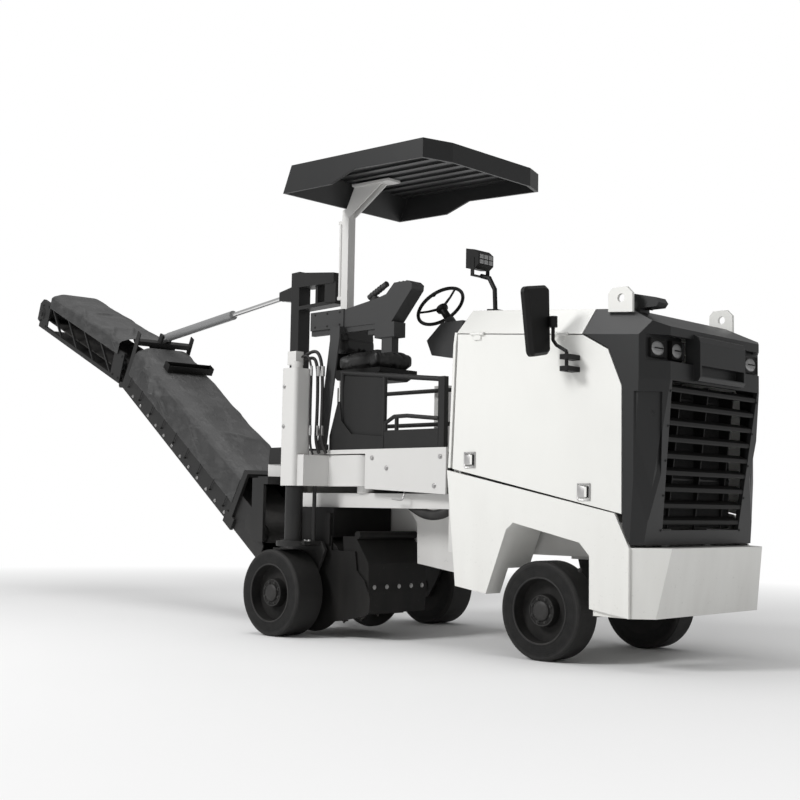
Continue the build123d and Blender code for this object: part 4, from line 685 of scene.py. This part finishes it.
# %% Bolt groups
GROUPS = {
    "platform_bolts": ("machine", zinc_steel, 0.012, [((x, -0.680, z), (0, -1, 0)) for x, z in
                       ((0.84, 1.17), (1.28, 1.05), (0.70, 1.24), (1.33, 1.24))]),
    "post_bolts": ("machine", zinc_steel, 0.011, [((-0.06 + i * 0.065, -0.23 + j * 0.052, 1.316), (0, 0, 1))
                   for i in (-1, 1) for j in (-1, 1)]),
    "flap_bolts": ("machine", zinc_steel, 0.011,
                   [((0.664, y, 0.36), (1, 0, 0)) for y in (-0.60, -0.48, -0.36, -0.24, -0.13)]),
    "bumper_bolts": ("machine", dark_enamel, 0.009, [((2.45, side * 0.6805, 0.56), (0, side, 0)) for side in (-1, 1)]),
    "arm_bolts": ("arm_right", zinc_steel, 0.010, [((0.060, -0.9285, z), (0, -1, 0)) for z in (1.74, 1.46)]),
    "foot_bolts": ("strut_right", zinc_steel, 0.012, [((x, -0.80, 0.662), (0, 0, 1)) for x in (0.17, 0.21)]),
}
for name, (body, finish, radius, spots) in GROUPS.items():
    shape = bmesh.new()
    for spot, direction in spots:
        add_bolt(shape, at(*spot), direction, radius)
    finish_piece(name, shape, body, finish)
shape = bmesh.new()
for side in (-1, 1):
    for k in range(12):
        add_bolt(shape, on_run(LOW, 0.62 + 0.175 * k, 0.035, side * HALF_WIDTH), across * side, 0.010)
finish_piece("lower_run_bolts", shape, "boom_lower", zinc_steel)
shape = bmesh.new()
for side in (-1, 1):
    for u, v in ((1.84, 0.04), (1.84, 0.25), (1.98, 0.07), (1.98, 0.23), (0.08, 0.04), (0.20, 0.04),
                 (0.08, 0.25), (0.20, 0.25)):
        add_bolt(shape, on_run(UP, u, v, side * HALF_WIDTH), across * side, 0.010)
    hub = on_run(UP, UP_LENGTH - 0.09, 0.145, side * HALF_WIDTH)
    add_lathe(shape, [(0.062, -0.004), (0.060, 0.006), (0.035, 0.009), (0.033, 0.020), (0.018, 0.024),
                      (0.0, 0.024)], hub,
              across * side, 32)
finish_piece("upper_run_bolts", shape, "boom_upper", dark_enamel)
print("bolt groups", len(GROUPS) + 2)

# %% [markdown]
# ## Pipes and moulded hoses
# Hoses that are clamped at both ends keep their moulded bends, so they are drawn as curves with
# a round section and turned into meshes.


# %% A pipe along points
def add_pipe(name, points, radius, body, finish):
    curve = bpy.data.curves.new(name, "CURVE")
    curve.dimensions, curve.bevel_depth, curve.bevel_resolution, curve.resolution_u = "3D", radius, 4, 8
    curve.use_fill_caps = True
    line = curve.splines.new("NURBS")
    line.points.add(len(points) - 1)
    for spot, point in zip(line.points, points):
        spot.co = (*point, 1)
    line.order_u = 3
    line.use_endpoint_u = True
    holder = bpy.data.objects.new(name + "_line", curve)
    bpy.context.scene.collection.objects.link(holder)
    bpy.context.view_layer.update()
    mesh = bpy.data.meshes.new_from_object(holder.evaluated_get(bpy.context.evaluated_depsgraph_get()))
    bpy.data.objects.remove(holder)
    shape = bmesh.new()
    shape.from_mesh(mesh)
    return finish_piece(name, shape, body, finish, 60)


PIPES = {
    "coolant_hose": ("machine", hose, 0.034,
                     [(1.39, -0.52, 0.98), (1.33, -0.56, 0.90), (1.22, -0.58, 0.855), (1.08, -0.56, 0.865),
                                             (0.93, -0.53, 0.92), (0.80, -0.50, 0.985)]),
    "hook_rod": ("machine", zinc_steel, 0.0055,
                 [(0.985, -0.640, 1.03), (0.985, -0.655, 0.985), (0.983, -0.665, 0.962), (0.965, -0.665, 0.955),
                                                 (0.93, -0.665, 0.957), (0.885, -0.665, 0.965)]),
    "sleeve_hose_outer": ("arm_right", hose, 0.012,
                          [(0.115, -0.80, 1.93), (0.16, -0.755, 1.97), (0.20, -0.745, 1.90), (0.212, -0.750, 1.70),
                                                     (0.214, -0.755, 1.50), (0.21, -0.76, 1.34), (0.23, -0.74, 1.275)]),
    "sleeve_hose_inner": ("arm_right", hose, 0.012,
                          [(0.10, -0.79, 1.96), (0.15, -0.74, 2.02), (0.215, -0.725, 1.96), (0.240, -0.730, 1.76),
                                                     (0.242, -0.735, 1.52), (0.24, -0.74, 1.36), (0.27, -0.71, 1.275)]),
    "sleeve_hose_thin": ("arm_right", hose, 0.008,
                         [(0.09, -0.83, 1.94), (0.15, -0.80, 1.99), (0.190, -0.790, 1.88), (0.196, -0.800, 1.66),
                                                    (0.197, -0.80, 1.45), (0.20, -0.80, 1.31), (0.22, -0.79, 1.266)]),
    "cowl_vent_pipe": ("machine", black_enamel, 0.010,
                       [(2.70, -0.41, 2.10), (2.74, -0.45, 2.105), (2.80, -0.46, 2.09)]),
}
for name, (body, finish, radius, route) in PIPES.items():
    add_pipe(name, [at(*point) for point in route], radius, body, finish)
shape = bmesh.new()
for k, (x, y) in enumerate(((0.214, -0.752), (0.241, -0.733), (0.197, -0.801))):
    for z in (1.82, 1.40):
        add_rod(shape, at(x, y, z), at(x, y, z + 0.05), 0.016 if k < 2 else 0.012, 6)
        add_rod(shape, at(x, y, z + 0.048), at(x, y, z + 0.070), 0.0145 if k < 2 else 0.0105, 16)
finish_piece("sleeve_hose_fittings", shape, "arm_right", zinc_steel)
print("pipes", len(PIPES))

# %% [markdown]
# ## Tarpaulins over the conveyor
# Each run of the conveyor is covered by coated cloth pulled over hoops and lashed along the
# sides. It isn't a smooth shell: it sags between hoops, pulls into slanting folds near the
# upper end, and ripples where it is lashed. A fine grid is bent over the arch, and each point
# is then moved in or out by a sum of sags, folds and soft noise. Along the side plates it is
# only moved outwards, because a real sheet can't pass through steel.

# %% A cloth over hoops
ARCH = [(-0.2935, -0.120), (-0.2935, 0.096), (-0.272, 0.125), (-0.198, 0.163), (-0.165, 0.170),
        (0.165, 0.170), (0.198, 0.163), (0.272, 0.125), (0.2935, 0.096), (0.2935, -0.120)]


def walk(outline, share):
    """The point and outward normal at a share of an open outline's length."""
    steps = [(Vector(a), Vector(b)) for a, b in zip(outline, outline[1:])]
    left = share * sum((b - a).length for a, b in steps)
    for a, b in steps:
        if left <= (b - a).length + 1e-9:
            break
        left -= (b - a).length
    way = (b - a).normalized()
    return a + way * left, Vector((-way.y, way.x))


def drape(name, run, start, end, scale, hang, folds, body):
    outline = [(w, (v if v > 0 else -hang) * (scale if v > 0 else 1)) for w, v in ARCH]
    girth = sum((Vector(a) - Vector(b)).length for a, b in zip(outline, outline[1:]))
    length = end - start
    across_cuts, along_cuts = 90, int(length / 0.012)
    shape = bmesh.new()
    bmesh.ops.create_grid(shape, x_segments=across_cuts, y_segments=along_cuts, size=0.5)
    for vert in shape.verts:
        share, part = vert.co.x + 0.5, vert.co.y + 0.5
        spot, out = walk(outline, min(max(share, 0), 1))
        crown = max(0.0, math.sin(math.pi * share)) ** 0.7
        hoop = abs(math.sin(math.pi * part * 4))
        sag = -0.010 * hoop * crown
        ripple = 0.004 * noise.noise(Vector((share * 9, part * length * 9, 1.7)))
        ripple += 0.011 * noise.noise(Vector((share * 3.0 + 4, part * length * 2.6, 8.1)))
        for s0, p0, s1, p1, height, width in folds:
            line = Vector((s1 - s0, (p1 - p0) * length / girth))
            here = Vector((share - s0, (part - p0) * length / girth))
            reach = min(max(here.dot(line) / line.length_squared, 0), 1)
            gap = (here - line * reach).length
            ripple += 2.1 * height * math.exp(-(gap / width) ** 2) * math.sin(math.pi * min(reach + 0.12, 1.0))
        edge = min(part, 1 - part)
        push = (sag + ripple) * min(1.0, edge * 25 + 0.15)
        wall = abs(spot.x) > 0.27 and spot.y < 0.02
        push = max(push, 0.001) if wall else push
        vert.co = on_run(run, start + part * length, SIDE_HEIGHT + spot.y + out.y * push, spot.x + out.x * push)
    sheet = finish_piece(name, shape, body, tarpaulin, 180)
    thick = sheet.modifiers.new("cloth", "SOLIDIFY")
    thick.thickness, thick.offset = 0.0025, 0.0
    print(name, "flat size", round(girth, 3), "x", round(length, 3))
    return sheet


# Each fold runs from a share and part to a share and part, with its height and its width.
LOW_FOLDS = ((0.02, 0.70, 0.30, 0.985, 0.016, 0.030), (0.04, 0.74, 0.22, 0.84, 0.012, 0.020),
             (0.03, 0.62, 0.24, 0.90, 0.010, 0.022),
             (0.05, 0.80, 0.20, 0.60, 0.009, 0.024), (0.02, 0.92, 0.27, 0.86, 0.012, 0.018),
             (0.98, 0.70, 0.72, 0.985, 0.014, 0.030),
             (0.97, 0.62, 0.78, 0.88, 0.010, 0.022), (0.02, 0.25, 0.22, 0.06, 0.008, 0.030),
             (0.98, 0.25, 0.78, 0.06, 0.008, 0.030),
             (0.30, 0.80, 0.70, 0.86, 0.008, 0.030), (0.06, 0.30, 0.24, 0.52, 0.006, 0.026),
             (0.32, 0.30, 0.68, 0.24, 0.006, 0.03))
UP_FOLDS = ((0.05, 0.02, 0.34, 0.30, 0.010, 0.026), (0.95, 0.02, 0.66, 0.30, 0.010, 0.026),
            (0.30, 0.55, 0.70, 0.62, 0.008, 0.03),
            (0.10, 0.45, 0.32, 0.72, 0.008, 0.022), (0.90, 0.50, 0.68, 0.75, 0.008, 0.022),
            (0.40, 0.12, 0.62, 0.34, 0.007, 0.024))
lower_end = 2.7914 - 0.078
lower_cover = drape("lower_tarpaulin", LOW, 0.548, lower_end, 1.0, 0.117, LOW_FOLDS, "boom_lower")
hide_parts("cover_lower")
upper_cover = drape("upper_tarpaulin", UP, 0.153, UP_LENGTH - 0.273, 0.71, 0.037, UP_FOLDS, "boom_upper")
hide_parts("cover_upper")

# %% [markdown]
# The cloth is held down by straps over the hoops and hooks along its lower edge, and a rest of
# folded plate stands on the lower run for the upper one to lie on when it is folded back.

# %% Straps, hooks and the rest for the folded run
shape = bmesh.new()
for side in (-1, 1):
    for k in range(9):
        u = 0.64 + 0.25 * k
        edge = on_run(LOW, u, 0.176, side * 0.2975)
        add_rod(shape, edge, on_run(LOW, u + 0.02, 0.070, side * 0.290), 0.0035, 8)
        add_rod(shape, on_run(LOW, u + 0.02, 0.070, side * 0.281), on_run(LOW, u + 0.02, 0.070, side * 0.299),
                0.007, 10)
finish_piece("cover_hooks", shape, "boom_lower", dark_enamel)
shape = bmesh.new()
REST_U, REST_V = 2.28, SIDE_HEIGHT + 0.178
turn = Matrix((LOW[1], across, LOW[2])).transposed().to_4x4()
add_block(shape, on_run(LOW, REST_U, REST_V, 0.02), (0.090, 0.46, 0.006), turn, 0.002)
for side in (-1, 1):
    add_block(shape, on_run(LOW, REST_U + side * 0.042, REST_V + 0.030, 0.02), (0.006, 0.46, 0.060), turn, 0.002)
    add_block(shape, on_run(LOW, REST_U, REST_V + 0.034, 0.02 + side * 0.228), (0.084, 0.006, 0.068), turn, 0.002)
finish_piece("fold_rest", shape, "boom_lower", black_enamel)

# %% [markdown]
# ## Seat
# A foam pad under black vinyl. A cloth simulation with air pressure inside swells a slightly
# small block. The pressure is high for so thin a pad, so it swells unevenly, and less pressure
# would give a calmer crown. The sewn channels come last, because a simulation would blow them
# out again.

# %% Seat pad and back
seat_low, seat_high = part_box("seat_cushion")
SEAT = Vector(((seat_low.x + seat_high.x) / 2 + 0.024, (seat_low.y + seat_high.y) / 2, seat_low.z))


def seat_shape():
    shape = bmesh.new()
    add_block(shape, SEAT + Vector((0.002, 0, 0.062)), (0.425, 0.385, 0.088), Matrix.Rotation(-0.05, 4, "Y"), 0.026)
    add_block(shape, SEAT + Vector((-0.218, 0, 0.285)), (0.066, 0.365, 0.350), Matrix.Rotation(-0.085, 4, "Y"), 0.026)
    for f in shape.faces:
        f.smooth = True
    return shape


def swell(piece, pressure, cap):
    """Swells the piece by air pressure, and lets no point move further than cap."""
    rest = [v.co.copy() for v in piece.data.vertices]
    air = piece.modifiers.new("air", "CLOTH")
    air.settings.use_pressure = True
    air.settings.uniform_pressure_force = pressure
    air.settings.quality = 6
    air.settings.effector_weights.gravity = 0
    air.settings.tension_stiffness = air.settings.compression_stiffness = 25
    air.point_cache.frame_start, air.point_cache.frame_end = 1, 20
    for step in range(1, 21):
        bpy.context.scene.frame_set(step)
    swollen = piece.evaluated_get(bpy.context.evaluated_depsgraph_get()).to_mesh()
    moved = [v.co.copy() for v in swollen.vertices]
    piece.modifiers.remove(air)
    bpy.context.scene.frame_set(1)
    for vert, before, after in zip(piece.data.vertices, rest, moved):
        step = after - before
        vert.co = before + (step if step.length <= cap else step * (cap / step.length))


pad_shape = seat_shape()
pad_mesh = bpy.data.meshes.new("seat_pad")
pad_shape.to_mesh(pad_mesh)
pad_shape.free()
pad = bpy.data.objects.new("seat_pad", pad_mesh)
bpy.context.scene.collection.objects.link(pad)
remesh = pad.modifiers.new("remesh", "REMESH")
remesh.mode, remesh.voxel_size = "VOXEL", 0.0065
bpy.context.view_layer.update()
pad_mesh = bpy.data.meshes.new_from_object(pad.evaluated_get(bpy.context.evaluated_depsgraph_get()))
pad.modifiers.clear()
pad.data = pad_mesh
swell(pad, 4.0, 0.022)
soft = bmesh.new()
soft.from_mesh(pad.data)
bmesh.ops.smooth_vert(soft, verts=soft.verts, factor=0.5, use_axis_x=True, use_axis_y=True, use_axis_z=True)
CHANNELS = [("x", -0.13), ("x", -0.03), ("x", 0.07), ("y", -0.145), ("y", 0.145)]
for vert in soft.verts:
    place = vert.co - SEAT
    on_back = place.z > 0.15
    for kind, spot in CHANNELS:
        if kind == "x":
            gap = (place.z - 0.26 - spot) if on_back else (place.x - 0.03 - spot)
            inside = abs(place.y) < 0.150
        else:
            gap, inside = place.y - spot, True
        if inside:
            depth = 0.0075 * math.exp(-(gap / 0.006) ** 2)
            if vert.normal.x > 0.3 or vert.normal.z > 0.3:
                vert.co -= (Vector((1, 0, 0)) if on_back else Vector((0, 0, 1))) * depth
soft.to_mesh(pad.data)
soft.free()
pad.data.materials.clear()
pad.data.materials.append(vinyl)
for face in pad.data.polygons:
    face.use_smooth = True
fine = pad.modifiers.new("fine", "SUBSURF")
fine.levels = fine.render_levels = 1
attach(pad, "machine")
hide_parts("seat_cushion")
print("seat pad", len(pad.data.vertices), "points")

# %% [markdown]
# ## Smaller pieces
# The tread plate keeps boots from slipping, the mirror needs its glass, and the work lamp its
# lens. The mirror's glass faces backwards, to the operator.

# %% Tread plate, mirror glass and lamp lens
tread = Finish("tread_plate", 0.002)
lattice = tread.node("ShaderNodeMapping", {}, {"Vector": tread.place, "Rotation": (0, 0, 0.785), "Scale": (30, 30, 1)})
checks = tread.node("ShaderNodeTexChecker", {}, {"Vector": lattice.outputs[0], "Scale": 1.0})
bars = Value(tread, checks.outputs[1]) * (tread.x * 170).sum("SINE", tread.x * 170, 0).over(0.3, 0.4)
bars = bars + (1 - Value(tread, checks.outputs[1])) * (tread.y * 170).sum("SINE", tread.y * 170, 0).over(0.3, 0.4)
grime = tread.cloud(5, 5).over(0.5, 0.5)
tread_finish = tread.finish(tread.blend((bars * 0.35 + grime * 0.3).clip(), grey(0.03), grey(0.16, 0.04)),
                            (0.5 + grime * 0.2).clip(), bars, 0.0015, metallic=0.3)
shape = bmesh.new()
corners = [(-0.53, -0.22), (-0.53, 0.57), (1.36, 0.57), (1.36, -0.585), (-0.10, -0.585)]
face = shape.faces.new([shape.verts.new(at(x, y, 1.3003)) for x, y in corners])
raised = bmesh.ops.extrude_face_region(shape, geom=[face])
bmesh.ops.translate(shape, verts=[v for v in raised["geom"] if isinstance(v, bmesh.types.BMVert)], vec=(0, 0, 0.004))
finish_piece("tread_plate", shape, "machine", tread_finish)

# %% Mirror glass and work lamp lens
mirror_glass = Finish("mirror_glass", 0)
smear = mirror_glass.cloud(8, 4)
mirror_finish = mirror_glass.finish(mirror_glass.blend(smear, grey(0.75), grey(0.68)),
                                    (0.03 + smear * 0.05).clip(), smear, 0.0001,
                                    metallic=1.0)
mirror_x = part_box("mirror_right")[0].x
GLASS_SHARE = (0.86, 0.92)
OUTLINE = [(-1.010, 2.205), (-0.777, 2.245), (-0.760, 1.830), (-0.943, 1.795)]
middle = Vector((sum(y for y, z in OUTLINE) / 4, sum(z for y, z in OUTLINE) / 4))
shape = bmesh.new()
corners = [(middle.x + (y - middle.x) * GLASS_SHARE[0], middle.y + (z - middle.y) * GLASS_SHARE[1]) for y, z in OUTLINE]
face = shape.faces.new([shape.verts.new((mirror_x, AXLE.y + y, z)) for y, z in corners])
raised = bmesh.ops.extrude_face_region(shape, geom=[face])
bmesh.ops.translate(shape, verts=[v for v in raised["geom"] if isinstance(v, bmesh.types.BMVert)], vec=(-0.003, 0, 0))
finish_piece("mirror_glass", shape, "door_right", mirror_finish)
shape = bmesh.new()
for k in range(3):
    for j in range(2):
        add_block(shape, at(1.5465, -0.545 + 0.045 * k, 2.510 + 0.034 * j), (0.004, 0.038, 0.028), bevel=0.002)
finish_piece("work_lamp_lens", shape, "machine", glass)
print("small pieces done")

# %% [markdown]
# ## Studio
# A pale floor that fades into white, a broad lamp high on the machine's right, and an even
# white surround. The front is left to the surround alone, so the grille and the bumper read a
# step darker than the side. Rays that the camera or a glass sends see pure white behind the
# machine. Polished faces see the plain level that also lights the object.

# %% World and lamps
bpy.context.scene.view_settings.view_transform = "Standard"
world = bpy.data.worlds.new("studio")
bpy.context.scene.world = world
world.use_nodes = True
nodes, links = world.node_tree.nodes, world.node_tree.links
path = nodes.new("ShaderNodeLightPath")
seen = nodes.new("ShaderNodeMath")
seen.operation = "MAXIMUM"
links.new(path.outputs["Is Camera Ray"], seen.inputs[0])
links.new(path.outputs["Is Transmission Ray"], seen.inputs[1])
level_of = nodes.new("ShaderNodeMapRange")
level_of.inputs["To Min"].default_value, level_of.inputs["To Max"].default_value = 0.42, 1.0
links.new(seen.outputs[0], level_of.inputs["Value"])
surround = nodes["Background"]
surround.inputs["Color"].default_value = (1, 1, 1, 1)
links.new(level_of.outputs[0], surround.inputs["Strength"])


def add_lamp(name, place, target, size, energy):
    light = bpy.data.lights.new(name, "AREA")
    light.energy, light.size, light.shape = energy, size, "DISK"
    lamp = bpy.data.objects.new(name, light)
    lamp.location = place
    lamp.rotation_euler = (Vector(target) - Vector(place)).to_track_quat("-Z", "Y").to_euler()
    bpy.context.scene.collection.objects.link(lamp)


add_lamp("key", (-1.5, -11, 8.5), (0.5, 0, 1.2), 4, 1080)
add_lamp("top", (0.0, -1.0, 11), (0, 0, 1), 6, 300)

# %% Floor
FADE_AT, FADE_WIDTH = 6.0, 5.0
floor_finish = Finish("studio_floor", 0)
speck = floor_finish.cloud(0.6, 2)
floor_finish.finish(floor_finish.blend(speck, grey(0.86), grey(0.84)), 0.9, gloss=0.1)
away = (floor_finish.x * floor_finish.x + floor_finish.y * floor_finish.y) ** 0.5
glow = floor_finish.node("ShaderNodeEmission", {}, {"Color": (1, 1, 1, 1), "Strength": 1.0})
fade = floor_finish.node("ShaderNodeMixShader", {},
                         {0: away.over(FADE_AT, FADE_WIDTH), 1: floor_finish.surface.outputs[0],
                                                     2: glow.outputs[0]})
out = [n for n in floor_finish.tree.nodes if n.type == "OUTPUT_MATERIAL"][0]
floor_finish.tree.links.new(fade.outputs[0], out.inputs[0])
floor_mesh = bpy.data.meshes.new("floor")
shape = bmesh.new()
bmesh.ops.create_grid(shape, x_segments=1, y_segments=1, size=40)
shape.to_mesh(floor_mesh)
shape.free()
floor_mesh.materials.append(floor_finish.material)
floor = bpy.data.objects.new("floor", floor_mesh)
bpy.context.scene.collection.objects.link(floor)
